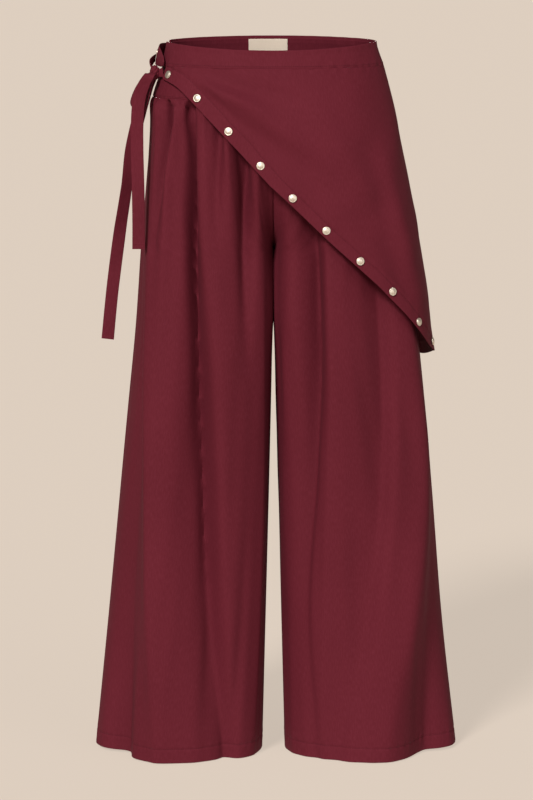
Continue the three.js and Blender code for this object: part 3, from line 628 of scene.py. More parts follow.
@dataclass(frozen=True)
class Thread:
    """Sewing thread: stitches of one length and pitch, in mm."""

    pitch: float = 3.2
    length: float = 2.3
    radius: float = 0.33
    lift: float = 0.4
    sides: int = 5

    def row(self, name: str, path: Array, normals: Array) -> bpy.types.Object:
        """A row of stitches along a path: small bars of five sides whose ends dip into the cloth.

        Args:
            name: the object's name.
            path: points in mm along the cloth's face.
            normals: the cloth's normals there.

        Returns:
            One object that holds all the stitches.
        """
        travelled = np.concatenate([[0], np.cumsum(np.linalg.norm(np.diff(path, axis=0), axis=1))])
        at = np.arange(self.pitch, travelled[-1] - self.pitch, self.pitch)

        def along(values: Array, where: Array) -> Array:
            """The values at distances along the path."""
            return np.stack([np.interp(where, travelled, values[:, k]) for k in range(3)], -1)

        middle, up = along(path, at), unit(along(normals, at))
        run = unit(along(path, at + 0.5) - along(path, at - 0.5))
        beside = unit(np.cross(up, run))
        shares, sizes = np.array([-0.5, -0.32, 0.32, 0.5]), np.array([0.4, 1, 1, 0.4])
        dips = np.array([-1, 0, 0, -1])
        turns = np.arange(self.sides) * 2 * math.pi / self.sides
        raised = (dips * self.radius)[:, None] + sizes[:, None] * self.radius * np.cos(turns)
        rings = (
            middle[:, None, None]
            + run[:, None, None] * (shares * self.length)[None, :, None, None]
            + up[:, None, None] * raised[None, ..., None]
            + beside[:, None, None] * (sizes[:, None] * self.radius * np.sin(turns))[None, ..., None]
        )
        first, total = np.arange(self.sides), len(shares) * self.sides
        one = grid_quads(len(shares), self.sides, False, True)[None, :, ::-1]
        caps = np.stack([first, total - 1 - first])[None, :, ::-1]
        offsets = (np.arange(len(at)) * total)[:, None, None]
        faces = [(one + offsets).reshape(-1, 4), (caps + offsets).reshape(-1, self.sides)]
        points = rings.reshape(-1, 3)
        flat = np.stack([points[:, 0], points[:, 2]], -1) * MM
        return piece_from(name, points, faces, flat)


def srgb(hexed: str) -> tuple[float, float, float, float]:
    """A linear colour from an sRGB hex value.

    Args:
        hexed: six hex digits.

    Returns:
        Red, green and blue by the sRGB curve, and alpha 1.
    """
    parts = [int(hexed[i : i + 2], 16) / 255 for i in (0, 2, 4)]
    return (*(v / 12.92 if v <= 0.04045 else ((v + 0.055) / 1.055) ** 2.4 for v in parts), 1.0)


def add_node(
    tree: bpy.types.NodeTree, kind: str, inputs: dict[str | int, object] | None = None, **settings: object
) -> bpy.types.Node:
    """Adds a node with its settings and links.

    Args:
        tree: the material's or world's node tree.
        kind: the node's type.
        inputs: for each input, the value to set or the output socket to link.
        settings: the node's own properties.

    Returns:
        The new node.
    """
    made = tree.nodes.new(kind)
    for name, value in settings.items():
        setattr(made, name, value)
    for key, value in (inputs or {}).items():
        if isinstance(value, Socket):
            tree.links.new(value, made.inputs[key])
        else:
            made.inputs[key].default_value = value
    return made


class FinishTree:
    """A material's nodes, with the few groups that the finishes share."""

    def __init__(self, name: str, coordinates: str) -> None:
        """Starts an empty node material.

        Args:
            name: the material's name.
            coordinates: what its patterns lie on, "UV" or "Object".
        """
        self.material = bpy.data.materials.new(name)
        self.material.use_nodes = True
        self.tree = self.material.node_tree
        self.tree.nodes.clear()
        self.place = add_node(self.tree, "ShaderNodeTexCoord").outputs[coordinates]

    def noise(self, size_mm: float, detail: float, run: float = 1.0) -> Socket:
        """Noise whose grains measure about size_mm, and run times that along the second coordinate."""
        drawn = add_node(self.tree, "ShaderNodeMapping", {"Vector": self.place, "Scale": (1.0, 1 / run, 1.0)})
        inputs = {"Vector": drawn.outputs["Vector"], "Scale": 1 / (size_mm * MM), "Detail": detail}
        return add_node(self.tree, "ShaderNodeTexNoise", inputs).outputs["Fac"]

    def threads(self, direction: str, period: float, size_mm: float, distortion: float) -> Socket:
        """Bands of threads size_mm apart, where period is the wave node's own at scale 1, in metres."""
        scale = period / (size_mm * MM)
        inputs = {"Vector": self.place, "Scale": scale, "Distortion": distortion, "Detail": 1.0}
        return add_node(self.tree, "ShaderNodeTexWave", inputs, bands_direction=direction).outputs["Fac"]

    def blend(self, share: Socket, low: str | Socket, high: str) -> Socket:
        """A colour between two, each an sRGB hex value or a node's output."""
        first = srgb(low) if isinstance(low, str) else low
        inputs = {"Factor": share, 6: first, 7: srgb(high)}
        return add_node(self.tree, "ShaderNodeMix", inputs, data_type="RGBA").outputs[2]

    def spread(self, value: Socket, **ends: float) -> Socket:
        """A value mapped to another range, with the map node's ends as keywords such as to_max."""
        inputs = {name.replace("_", " ").title(): end for name, end in ends.items()}
        return add_node(self.tree, "ShaderNodeMapRange", {"Value": value, **inputs}).outputs["Result"]

    def relief(
        self, height: Socket, strength: float, depth_mm: float, on: Socket | None = None
    ) -> Socket:
        """A bump of depth_mm, on another bump's normal where one is given."""
        inputs = {"Height": height, "Strength": strength, "Distance": depth_mm * MM}
        if on is not None:
            inputs["Normal"] = on
        return add_node(self.tree, "ShaderNodeBump", inputs).outputs["Normal"]

    def finished(self, inputs: dict[str, object]) -> bpy.types.Material:
        """The material, ended in a principled shader with these inputs."""
        shader = add_node(self.tree, "ShaderNodeBsdfPrincipled", inputs)
        add_node(self.tree, "ShaderNodeOutputMaterial", {"Surface": shader.outputs["BSDF"]})
        return self.material


# The wave node's period at scale 1, in metres: pi / 10 straight, and sqrt(2) times that across its diagonal
STRAIGHT_PERIOD, DIAGONAL_PERIOD = 0.314, 0.444


@dataclass(frozen=True)
class TwillFinish:
    """Piece-dyed cotton twill with a brushed face: a dry, even colour with a faint nap on the crests."""

    name: str
    base: str
    light: str
    dark: str
    rib_mm: float = 1.1
    nap_mm: float = 1.6
    nap_run: float = 5.0
    mottle_mm: float = 110.0
    crumple_mm: float = 34.0
    roughness: float = 0.82
    sheen: float = 0.06

    def material(self) -> bpy.types.Material:
        """Diagonal ribs and fibre noise on the cloth's own UV, in real millimetres."""
        made = FinishTree(self.name, "UV")
        ribs = made.threads("DIAGONAL", DIAGONAL_PERIOD, self.rib_mm, 0.6)
        nap = made.noise(self.nap_mm, 3.0, self.nap_run)
        broad = made.blend(made.noise(self.mottle_mm, 3.0, 1.6), self.dark, self.base)
        colour = made.blend(made.spread(nap, from_min=0.4, from_max=0.75, to_max=0.22), broad, self.light)
        crease = made.relief(made.noise(self.crumple_mm, 2.0, 2.5), 0.35, 1.0)
        fibre = made.relief(nap, 0.2, 0.15, crease)
        return made.finished({
            "Base Color": colour,
            "Roughness": self.roughness,
            "Specular IOR Level": 0.12,
            "Sheen Weight": self.sheen,
            "Sheen Roughness": 0.55,
            "Sheen Tint": srgb(self.light),
            "Normal": made.relief(ribs, 0.25, 0.12, fibre),
        })


@dataclass(frozen=True)
class WovenTapeFinish:
    """Polyester satin tape, woven: pale cream with fine cross threads and a low lustre."""

    name: str = "cream satin tape"
    base: str = "E2D8CA"
    dark: str = "CFC2B0"
    thread_mm: float = 0.6
    roughness: float = 0.6

    def material(self) -> bpy.types.Material:
        """Crossed bands of threads on the tape's UV."""
        made = FinishTree(self.name, "UV")
        warp, weft = (made.threads(way, STRAIGHT_PERIOD, self.thread_mm, 0.0) for way in ("X", "Y"))
        weave = add_node(made.tree, "ShaderNodeMath", {0: warp, 1: weft}, operation="MULTIPLY").outputs[0]
        colour = made.blend(weave, self.dark, self.base)
        return made.finished(
            {"Base Color": colour, "Roughness": self.roughness, "Normal": made.relief(weave, 0.3, 0.1)}
        )


@dataclass(frozen=True)
class SatinNickelFinish:
    """Stamped brass, nickel plated and tumbled: a warm, soft metal shine with faint handling marks."""

    name: str = "satin nickel plate"
    base: str = "E6DED2"
    worn: str = "C4B6A2"
    grain_mm: float = 1.2
    roughness: float = 0.46

    def material(self) -> bpy.types.Material:
        """Fine noise on Object coordinates turns the colour and roughness a little."""
        made = FinishTree(self.name, "Object")
        grain = made.noise(self.grain_mm, 3.0)
        return made.finished({
            "Base Color": made.blend(grain, self.worn, self.base),
            "Metallic": 1.0,
            "Roughness": made.spread(grain, to_min=self.roughness - 0.08, to_max=self.roughness + 0.12),
            "Normal": made.relief(grain, 0.08, 0.05),
        })


@dataclass(frozen=True)
class PaperFinish:
    """Matt studio paper that gives off most of its own light, so that shadows on it stay faint."""

    name: str = "studio paper"
    base: str = "F6E6D6"
    share: float = 0.17
    glow: float = 0.61
    grain_mm: float = 2.5

    def material(self) -> bpy.types.Material:
        """An even matt colour of which only a share reflects, with a trace of grain in its bump."""
        made = FinishTree(self.name, "Object")
        return made.finished({
            "Base Color": tuple(self.share * v for v in srgb(self.base)[:3]) + (1.0,),
            "Emission Color": srgb(self.base),
            "Emission Strength": self.glow,
            "Roughness": 1.0,
            "Specular IOR Level": 0.0,
            "Normal": made.relief(made.noise(self.grain_mm, 2.0), 0.05, 0.1),
        })


@dataclass
class Finishes:
    """The object's materials, made once."""

    face: bpy.types.Material = field(
        default_factory=lambda: TwillFinish("burgundy brushed twill", "571824", "6E2B3A", "4D121D").material()
    )
    thread: bpy.types.Material = field(
        default_factory=lambda: TwillFinish("burgundy sewing thread", "4B131D", "642633", "3F0F18").material()
    )
    tape: bpy.types.Material = field(default_factory=lambda: WovenTapeFinish().material())
    nickel: bpy.types.Material = field(default_factory=lambda: SatinNickelFinish().material())
    paper: bpy.types.Material = field(default_factory=lambda: PaperFinish().material())


def dress(
    piece: bpy.types.Object, material: bpy.types.Material, nodes: Sequence[str] = ()
) -> bpy.types.Object:
    """Gives a piece its material, slot and body, and hides the CAD nodes that it stands for.

    Args:
        piece: the new piece.
        material: its finish.
        nodes: CAD nodes that it replaces.

    Returns:
        The piece.
    """
    piece.data.materials.append(material)
    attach(piece, "root")
    if nodes:
        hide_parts(*nodes)
    return piece


def sew(
    name: str, cloth: Cloth, row: int | Array, columns: Array, finishes: Finishes
) -> bpy.types.Object:
    """A dressed row of stitches on a cloth's face.

    Args:
        name: the stitches' name.
        cloth: the cloth that they lie on.
        row: the grid row that they follow, one for all or one for each column.
        columns: the grid columns that they pass.
        finishes: the object's materials.

    Returns:
        One object that holds all the stitches.
    """
    thread = Thread()
    path, normals = cloth.points[row, columns], cloth.normals[row, columns]
    made = thread.row(name, path + normals * thread.radius * thread.lift, normals)
    return dress(made, finishes.thread)


@dataclass
class Legs:
    """The four leg panels, gathered into the inner waistband and hemmed."""

    finishes: Finishes
    front_columns: int = 150
    back_columns: int = 120
    gather_low: float = -110.0
    gather_step: float = 2.5
    body_step: float = 7.0
    foot_height: float = 30.0
    foot_rows: int = 20
    crowd: float = 0.12
    hem_depth: float = 20.0
    hem_groove: float = 0.7
    hem_groove_width: float = 1.5
    hem_pucker_width: float = 9.0
    seam_depth: float = 1.0
    seam_width: float = 1.8
    seam_calm: float = 20.0
    gather_fall: float = 55.0
    gather_start: float = 3.0
    middle_gap: float = 0.1
    parted: float = -392.0
    parting: float = 30.0
    drawn: float = 6.0

    def rows(self) -> Array:
        """Heights from the waistband down to the hem, closer at the gathers and at the hem's stitches."""
        foot_top = HEM + self.foot_height
        top = np.arange(INNER_BAND_LOW - SEAM_GAP, self.gather_low, -self.gather_step)
        body = np.arange(self.gather_low, foot_top, -self.body_step)
        foot = np.linspace(foot_top, HEM + CLOTH / 2, self.foot_rows)
        return np.concatenate([top, body, foot])

    def cloth(self, side: Side, first: float, last: float, columns: int) -> Cloth:
        """One panel with its gathers, ripples, rolled seams and hem groove.

        Its middle seam is drawn in to the body's middle down to where the legs part.
        """
        form = TrouserForm(side)
        places = crowded(first + SEAM_PLACE, last - SEAM_PLACE, columns, self.crowd)
        base = Cloth(form.point(places[None], self.rows()[:, None]), clockwise=side is Side.RIGHT)
        seed = 11 + 2 * int(first) + (side is Side.LEFT)
        across = np.broadcast_to(base.from_first[0], base.from_first.shape)
        gathers = GATHERS.at(seed, across, base.from_top)
        fading = np.exp(-base.from_top / self.gather_fall)
        gathers *= fading * (1 - np.exp(-base.from_top / self.gather_start))
        ripple = LEG_RIPPLES.at(seed + 20, base.from_first, base.from_top)
        line = base.from_foot - self.hem_depth
        puckers = HEM_PUCKERS.at(seed + 40, base.from_first, base.from_top)
        groove = -self.hem_groove * bump(line, self.hem_groove_width)
        hem = groove + puckers * bump(line, self.hem_pucker_width)
        roll = base.seam_roll(self.seam_depth, self.seam_width)
        points = base.moved((gathers + ripple) * base.calm(self.seam_calm) + hem + roll).points
        edge, away = (0, base.from_first) if first == 0 else (-1, base.from_last)
        gap = points[:, [edge], 0] - side.value * self.middle_gap
        held = ease(self.parted - self.parting, self.parted, points[..., 2])
        points[..., 0] -= gap * held * np.exp(-away / self.drawn)
        return Cloth(points, base.clockwise)

    def build(self) -> None:
        halves = (("front", 0, 1, self.front_columns), ("back", 1, 2, self.back_columns))
        for word, first, last, columns in halves:
            for side in Side:
                name = f"{word}_{side.name.lower()}"
                cloth = self.cloth(side, first, last, columns)
                panel = cloth.shell(f"leg_{name}", CLOTH)
                dress(panel, self.finishes.face, [f"trouser_{name}"])
                row = int(np.argmin(np.abs(cloth.from_foot[:, 0] - self.hem_depth)))
                sewn = sew(f"hem_stitches_{name}", cloth, row, np.arange(2, columns - 2), self.finishes)


@dataclass
class Waistbands:
    """The deep inner waistband and the overlay's own narrow one, each in a front and a back half."""

    finishes: Finishes
    columns: int = 150
    crowd: float = 0.1
    least_rows: int = 14
    row_step: float = 2.6
    stitch_up: float = 3.0

    def half(self, table: Table, first: float, last: float, drop: float, low: float, seed: int) -> Cloth:
        """Half a band on a table's oval, with puckers along its lower seam."""
        turns = crowded(first, last, self.columns, self.crowd)[None]
        count = max(self.least_rows, int(-low / self.row_step))
        shares = crowded(0, 1, count, self.crowd)[:, None]
        heights = mix(rim_height(turns) - drop - BAND_CLOTH / 2, low, shares)
        base = Cloth(OvalForm(table).point(turns, heights), clockwise=False)
        waves = BAND_PUCKERS.at(seed, base.from_first, base.from_top)
        tuck = bump(base.from_foot, 9) + 0.5 * bump(base.from_top, 7)
        soft = BAND_SWELLS.at(seed + 7, base.from_first, base.from_top)
        groove = -0.7 * bump(base.from_foot, 1.4) - 0.35 * bump(base.from_top - 6, 1.3)
        return base.moved((waves * tuck + soft) * base.calm(SEAM_CALM) + groove + base.seam_roll(0.7, 1.6))

    def build(self) -> None:
        before, after = OVERLAY_SEAM - HALF_SEAM, OVERLAY_SEAM + HALF_SEAM
        drop, low, outer_low = INNER_RIM_DROP, INNER_BAND_LOW, OVERLAY_BAND_LOW
        rows = (
            ("waistband_inner_front", SECTIONS, HALF_SEAM, before, drop, low, 61),
            ("waistband_inner_back", SECTIONS, after, 360 - HALF_SEAM, drop, low, 62),
            ("overlay_band_front", OVERLAY, OVERLAY_BAND_FIRST, before, 0.0, outer_low, 63),
            ("overlay_band_back", OVERLAY, after, OVERLAY_BAND_LAST, 0.0, outer_low, 64),
        )
        for node, table, first, last, drop, foot, seed in rows:
            cloth = self.half(table, first, last, drop, foot, seed)
            band = dress(cloth.shell(f"{node}_cloth", BAND_CLOTH), self.finishes.face, [node])
            row = int(np.argmin(np.abs(cloth.from_foot[:, self.columns // 2] - self.stitch_up)))
            sewn = sew(f"{node}_stitches", cloth, row, np.arange(2, self.columns - 2), self.finishes)


@dataclass(frozen=True)
class Crease:
    """A soft straight crease on the front, from one place (x, z) in mm to another, fading at both ends."""

    x: float
    z: float
    to_x: float
    to_z: float
    height: float
    width: float

    def lift(self, points: Array) -> Array:
        """How far it lifts points, in mm: its height times a ridge across it and sin(pi t) along it."""
        run = np.array([self.to_x - self.x, self.to_z - self.z])
        length = float(np.hypot(*run))
        away = points[..., [0, 2]] - (self.x, self.z)
        along = np.clip(away @ run / length**2, 0, 1)
        across = (away[..., 0] * run[1] - away[..., 1] * run[0]) / length
        front = points[..., 1] < 0
        return np.where(front, self.height * bump(across, self.width) * np.sin(math.pi * along), 0)


CREASES = (
    Crease(-158, -38, -66, -96, 4.5, 6),
    Crease(-150, -40, -30, -128, -3.0, 8),
    Crease(-148, -36, 10, -96, 5.0, 11),
    Crease(-140, -34, 60, -80, -3.0, 12),
    Crease(-120, -40, 90, -160, 5.0, 15),
    Crease(-90, -70, 110, -220, -3.0, 14),
    Crease(150, -130, 212, -385, 5.0, 12),
    Crease(128, -120, 196, -390, -3.5, 16),
    Crease(40, -60, 150, -230, 4.5, 20),
    Crease(90, -180, 190, -330, -3.0, 18),
)


@dataclass
class Overlay:
    """The three-cornered wrap: a front and a back panel whose slanting edge is faced and stitched."""

    finishes: Finishes
    columns: int = 160
    crowd: float = 0.1
    upper_rows: int = 74
    facing_rows: int = 22
    facing: float = 18.0
    groove: float = 0.8
    spread: float = 14.0
    above_facing: float = 8.0
    greatest_reach: float = 0.7

    def edge_height(self, turn: Array) -> Array:
        """The slanting edge's height at a turn."""
        return EDGE.through("turn", "z", turn)

    def upright(self, turn: Array) -> Array:
        """The mm of height in one mm square across the edge: 1 over the cosine of its slope."""
        form = OvalForm(OVERLAY)
        ahead = form.point(turn + 0.5, self.edge_height(turn + 0.5))
        behind = form.point(turn - 0.5, self.edge_height(turn - 0.5))
        step = ahead - behind
        return np.linalg.norm(step, axis=-1) / np.maximum(np.linalg.norm(step[..., :2], axis=-1), 1e-6)

    def grid(self, first: float, last: float) -> tuple[Array, Array]:
        """Turns and heights: even rows down to the facing, then close rows across it."""
        turns = crowded(first, last, self.columns, self.crowd)
        top = OVERLAY_BAND_LOW - SEAM_GAP
        foot = self.edge_height(turns) + CLOTH / 2
        close = (self.facing + self.above_facing) * self.upright(turns)
        reach = np.minimum(close, self.greatest_reach * (top - foot))
        upper = mix(top, foot + reach, np.linspace(0, 1, self.upper_rows)[:, None])
        lower = mix(foot + reach, foot, np.linspace(0, 1, self.facing_rows + 1)[1:, None])
        heights = np.concatenate([upper, lower])
        return np.broadcast_to(turns, heights.shape), heights

    def cloth(self, first: float, last: float, seed: int) -> Cloth:
        """One panel with its creases, facing line and rolled seams."""
        turns, heights = self.grid(first, last)
        base = Cloth(OvalForm(OVERLAY).point(turns, heights), clockwise=False)
        inward = (heights - self.edge_height(turns)) / self.upright(turns[0])
        soft = OVERLAY_SWELLS.at(seed, base.from_first, base.from_top)
        fine = OVERLAY_PUCKERS.at(seed + 3, base.from_first, base.from_top)
        near_line = bump(inward - self.facing, 7) + bump(base.from_top, 9)
        line = -self.groove * bump(inward - self.facing, 1.6)
        flat = ease(self.facing, self.facing + self.spread, inward)
        creases = flat * sum(crease.lift(base.points) for crease in CREASES)
        lift = (soft + creases + fine * near_line) * base.calm(SEAM_CALM)
        return base.moved(lift + line + base.seam_roll(0.8, 1.7))

    def build(self) -> None:
        rows = (
            ("overlay_front", EDGE_FIRST, OVERLAY_SEAM - HALF_SEAM, 71),
            ("overlay_back", OVERLAY_SEAM + HALF_SEAM, EDGE_LAST, 72),
        )
        for node, first, last, seed in rows:
            cloth = self.cloth(first, last, seed)
            panel = dress(cloth.shell(f"{node}_cloth", CLOTH), self.finishes.face, [node])
            inward = cloth.from_foot / self.upright(crowded(first, last, self.columns, self.crowd))
            row = np.argmin(np.abs(inward - self.facing), axis=0)[3:-3]
            column = np.arange(3, self.columns - 3)
            sewn = sew(f"{node}_stitches", cloth, row, column, self.finishes)


@dataclass
class Snaps:
    """Domed snap caps: ten along the overlay's slanting edge and one on the hip tab."""

    finishes: Finishes
    radius: float = 5.8
    height: float = 2.4
    count: int = 10
    first: float = 13.0
    pitch: float = 65.8
    inset: float = 9.4
    sides: int = 48

    def profile(self) -> Array:
        """Radius and height from the rim's foot to the middle: rolled rim, shallow ring and low dome."""
        rim = [(1.0, 0.0), (1.0, 0.22), (0.985, 0.42), (0.94, 0.56), (0.88, 0.6), (0.82, 0.56), (0.77, 0.55)]
        dome = [(0.7, 0.66), (0.58, 0.8), (0.44, 0.9), (0.28, 0.97), (0.12, 1.0), (0.0, 1.0)]
        return np.array(rim + dome) * (self.radius, self.height)

    def cap(self, name: str, place: Array, normal: Array) -> bpy.types.Object:
        """A cap seated on the cloth: its profile turned about the normal there."""
        up = unit(normal)
        across = unit(np.cross(up, (0.0, 0.0, 1.0)))
        away = np.cross(up, across)
        turns = np.arange(self.sides) * 2 * math.pi / self.sides
        ring = across * np.cos(turns)[:, None] + away * np.sin(turns)[:, None]
        profile = self.profile()[:-1]
        body = place + ring[None] * profile[:, 0, None, None] + up * (profile[:, 1, None, None] + LAYER_GAP)
        points = np.concatenate([body.reshape(-1, 3), [place + up * (self.height + LAYER_GAP)]])
        rows, last = len(profile), len(points) - 1
        around = np.arange(self.sides)
        inmost = (rows - 1) * self.sides
        ahead = (around + 1) % self.sides
        tip = np.stack([inmost + around, np.full(self.sides, last), inmost + ahead], -1)
        faces = [grid_quads(rows, self.sides, False, True), tip, around[None]]
        flip = np.dot(np.cross(across, away), up) > 0
        faces = [f[:, ::-1] if flip else f for f in faces]
        uv = np.stack([points @ across, points @ away], -1) * MM
        return piece_from(name, points, faces, uv, crisp=80)

    def edge_places(self) -> list[tuple[Array, Array]]:
        """Places and normals along the overlay's edge, at an even pitch and in from it by the inset."""
        form = OvalForm(OVERLAY)
        turns = np.linspace(EDGE_FIRST, OVERLAY_SEAM + 10, 681)
        line = form.point(turns, EDGE.through("turn", "z", turns))
        travelled = np.concatenate([[0], np.cumsum(np.linalg.norm(np.diff(line, axis=0), axis=1))])
        found = []
        for i in range(self.count):
            k = int(np.searchsorted(travelled, self.first + self.pitch * i))
            along = unit(line[k] - line[k - 1])
            inward = np.cross(self.normal(turns[k], line[k, 2]), along) * self.inset
            per_degree = form.point(turns[k] + 0.5, line[k, 2]) - form.point(turns[k] - 0.5, line[k, 2])
            turn = turns[k] + inward @ per_degree / (per_degree @ per_degree)
            z = line[k, 2] + inward[2]
            found.append((form.point(turn, z), self.normal(turn, z)))
        return found

    def normal(self, turn: float, z: float) -> Array:
        """The overlay's outward normal at a turn and height."""
        form = OvalForm(OVERLAY)
        beside = form.point(turn + 0.4, z) - form.point(turn - 0.4, z)
        up = form.point(turn, z + 1) - form.point(turn, z - 1)
        return unit(np.cross(beside, up))

    def build(self, tab_place: Array, tab_normal: Array) -> None:
        """Makes and dresses every cap.

        Args:
            tab_place: the hip tab's outer face where its snap sits.
            tab_normal: its normal.
        """
        places = [(f"snap_{i + 1:02d}", *spot) for i, spot in enumerate(self.edge_places())]
        for name, place, normal in [*places, ("snap_tab", tab_place, tab_normal)]:
            dress(self.cap(f"{name}_cap", place, normal), self.finishes.nickel, [name])


TAB_SNAP_SHARE = 0.3
STRAP_NAMES = ("x", "y", "z", "width", "round", "tip")
STRAPS = {
    "hip_tab": Table(STRAP_NAMES, (
        (-131, 67, -14, 25, -36, 103), (-152.5, 41, -14, 27, -22, 103),
        (-163.5, 17, -14, 28, -8, 103), (-166.5, -3, -16, 27, 4, 102),
        (-163.8, -17, -19, 24, 14, 101), (-160.2, -28, -22, 19, 20, 100),
        (-157.8, -36, -24.5, 14, 24, 100), (-156.2, -41.5, -26.5, 6, 26, 100),
    )),
    "tie_front": Table(STRAP_NAMES, (
        (-156.6, -37.2, -38.7, 14.5, 20, 100), (-160, -35.6, -39.5, 12, 10, 96),
        (-164.5, -32.8, -40.2, 9, 0, 90), (-168, -31, -40.5, 8, 0, 90),
    )),
    "tie_back": Table(STRAP_NAMES, (
        (-169.3, 9, -21, 12, 0, 103), (-171.5, 2, -22.5, 11.5, 0, 95), (-175, -9, -27, 10.5, 0, 75),
        (-174, -19, -32, 9.5, 0, 65), (-169, -28, -38, 9, 0, 60),
    )),
    "bow_loop": Table(STRAP_NAMES, (
        (-170, -28, -40, 11, 100, 0), (-179, -29, -43, 13, 105, 0), (-189.5, -31, -54, 16, 110, 0),
        (-197.5, -31, -72, 17, 114, 0), (-200, -31, -84, 17, 114, 0), (-196, -31, -90, 17, 110, 0),
        (-187, -31, -90, 17, 104, 0), (-180, -31, -83, 17, 100, 0), (-176, -31, -68, 16, 96, 0),
        (-172, -31, -53, 12.5, 94, 0), (-169.5, -30, -42, 10, 92, 0),
    )),
    "tie_tail_short": Table(STRAP_NAMES, (
        (-170, -34.5, -40, 11, 10, 0), (-176, -42.5, -43.5, 14, 10, -8), (-184, -44.5, -56, 17, 12, -12),
        (-191, -45.5, -78, 18, 10, -6), (-193.5, -50, -112, 18, 4, 0), (-193.4, -55, -149, 18, -6, 0),
        (-192.5, -60, -186, 18, -4, 0), (-191.9, -64, -220, 18, 6, 0), (-191.6, -68, -255, 18, 10, 0),
        (-191.7, -71, -287, 18, 6, 0),
    )),
    "tie_tail_long": Table(STRAP_NAMES, (
        (-168.5, -25, -42, 9, 0, 0), (-171.5, -16, -49, 10, 0, 0), (-176.5, -12.5, -58, 12, 0, 0),
        (-183.5, -12.5, -75, 16, 0, 0), (-191.5, -14, -100, 18, 4, 0), (-203.4, -15, -150, 18, 14, 0),
        (-210.3, -16, -203, 18, 30, 0), (-217, -17, -245, 18, 22, 0), (-223, -18, -286, 18, 6, 0),
        (-231.9, -18, -355, 18, -8, 0), (-238.9, -18, -423, 18, -4, 0),
    )),
}


@dataclass
class Strap:
    """A flat strap of cloth along a table's rows."""

    name: str
    steps: int = 110
    around: int = 28
    wall: float = 1.9
    crown: float = 0.5
    hem: float = 7.0
    hem_share: float = 0.06
    hem_steps: int = 30

    def centre(self, shares: Array) -> Array:
        """Points on a centripetal Catmull-Rom curve through the rows.

        Each stretch is a cubic Hermite whose tangents come from the square roots of the rows' distances.
        """
        table = STRAPS[self.name]
        knots = np.stack([table.column(k) for k in ("x", "y", "z")], -1)
        padded = np.concatenate([2 * knots[:1] - knots[1:2], knots, 2 * knots[-1:] - knots[-2:-1]])
        at = shares * (len(knots) - 1)
        i = np.clip(at.astype(int), 0, len(knots) - 2)
        t = (at - i)[:, None]
        p0, p1, p2, p3 = (padded[i + k] for k in range(4))
        pairs = ((p0, p1), (p1, p2), (p2, p3))
        d0, d1, d2 = (np.sqrt(np.linalg.norm(b - a, axis=1))[:, None] for a, b in pairs)
        t1 = ((p1 - p0) / d0 - (p2 - p0) / (d0 + d1) + (p2 - p1) / d1) * d1
        t2 = ((p2 - p1) / d1 - (p3 - p1) / (d1 + d2) + (p3 - p2) / d2) * d1
        a, b = 2 * p1 - 2 * p2 + t1 + t2, -3 * p1 + 3 * p2 - 2 * t1 - t2
        return a * t**3 + b * t**2 + t1 * t + p1

    def places(self, shares: Array) -> tuple[Array, Array, Array, Array]:
        """The strap's middle, breadth direction, face direction and width at shares of the way along."""
        table = STRAPS[self.name]
        rows = np.linspace(0, 1, len(table.rows))
        turn, tip = (np.radians(np.interp(shares, rows, table.column(k))) for k in ("round", "tip"))
        width = np.interp(shares, rows, table.column("width"))
        step = 1e-3
        tangent = unit(self.centre(np.clip(shares + step, 0, 1)) - self.centre(np.clip(shares - step, 0, 1)))
        breadth = np.stack([-np.cos(turn) * np.cos(tip), -np.sin(turn) * np.cos(tip), np.sin(tip)], -1)
        breadth = unit(breadth - tangent * np.sum(breadth * tangent, -1, keepdims=True))
        return self.centre(shares), breadth, np.cross(tangent, breadth), width

    def build(self, finishes: Finishes, rests_on: Sequence[str]) -> bpy.types.Object:
        """The strap as a closed tube of a flat, round-edged section, a little crowned and waved.

        The section is a superellipse: cos to the 0.45 across the width and sin to the 0.8 through the wall.
        """
        near = np.linspace(1 - self.hem_share, 1, self.hem_steps)
        shares = np.concatenate([np.linspace(0, near[0], self.steps)[:-1], near])
        middle, breadth, face, width = self.places(shares)
        lengths = np.concatenate([[0], np.cumsum(np.linalg.norm(np.diff(middle, axis=0), axis=1))])
        seed = 80 + sorted(STRAPS).index(self.name)
        wave = STRAP_SWAY.at(seed, lengths, np.zeros_like(lengths))
        calm = ease(0, 25, lengths) * ease(0, 25, lengths[-1] - lengths)
        turns = np.arange(self.around) * 2 * math.pi / self.around
        across = signed_power(np.cos(turns), 0.45)
        through = signed_power(np.sin(turns), 0.8) * self.wall / 2
        stitched = -0.25 * bump(np.abs(across) - 0.8, 0.07) * np.sign(through)
        lift = through + stitched + self.crown * (1 - across**2) - self.crown / 2
        from_end = lengths[-1] - lengths
        hemmed = 0.35 * ease(self.hem + 0.8, self.hem - 0.2, from_end)
        hemmed = (hemmed - 0.5 * bump(from_end - self.hem + 1.5, 0.8)) * ("tail" in self.name)
        points = (
            middle[:, None]
            + breadth[:, None] * (across[None] * width[:, None] / 2)[..., None]
            + face[:, None] * (lift[None] + (wave * calm)[:, None] * (1 - 0.4 * across**2)[None])[..., None]
            + face[:, None] * (hemmed[:, None] * np.sign(through)[None])[..., None]
        )
        uv = np.stack(np.broadcast_arrays(across[None] * width[:, None] / 2, -lengths[:, None]), -1) * MM
        ring = np.arange(self.around)
        ends = [ring[None, ::-1], ring[None] + (len(shares) - 1) * self.around]
        faces = [grid_quads(len(shares), self.around, False, True), *ends]
        made = piece_from(f"{self.name}_cloth", points.reshape(-1, 3), faces, uv.reshape(-1, 2))
        dress(made, finishes.face, [self.name])
        return made


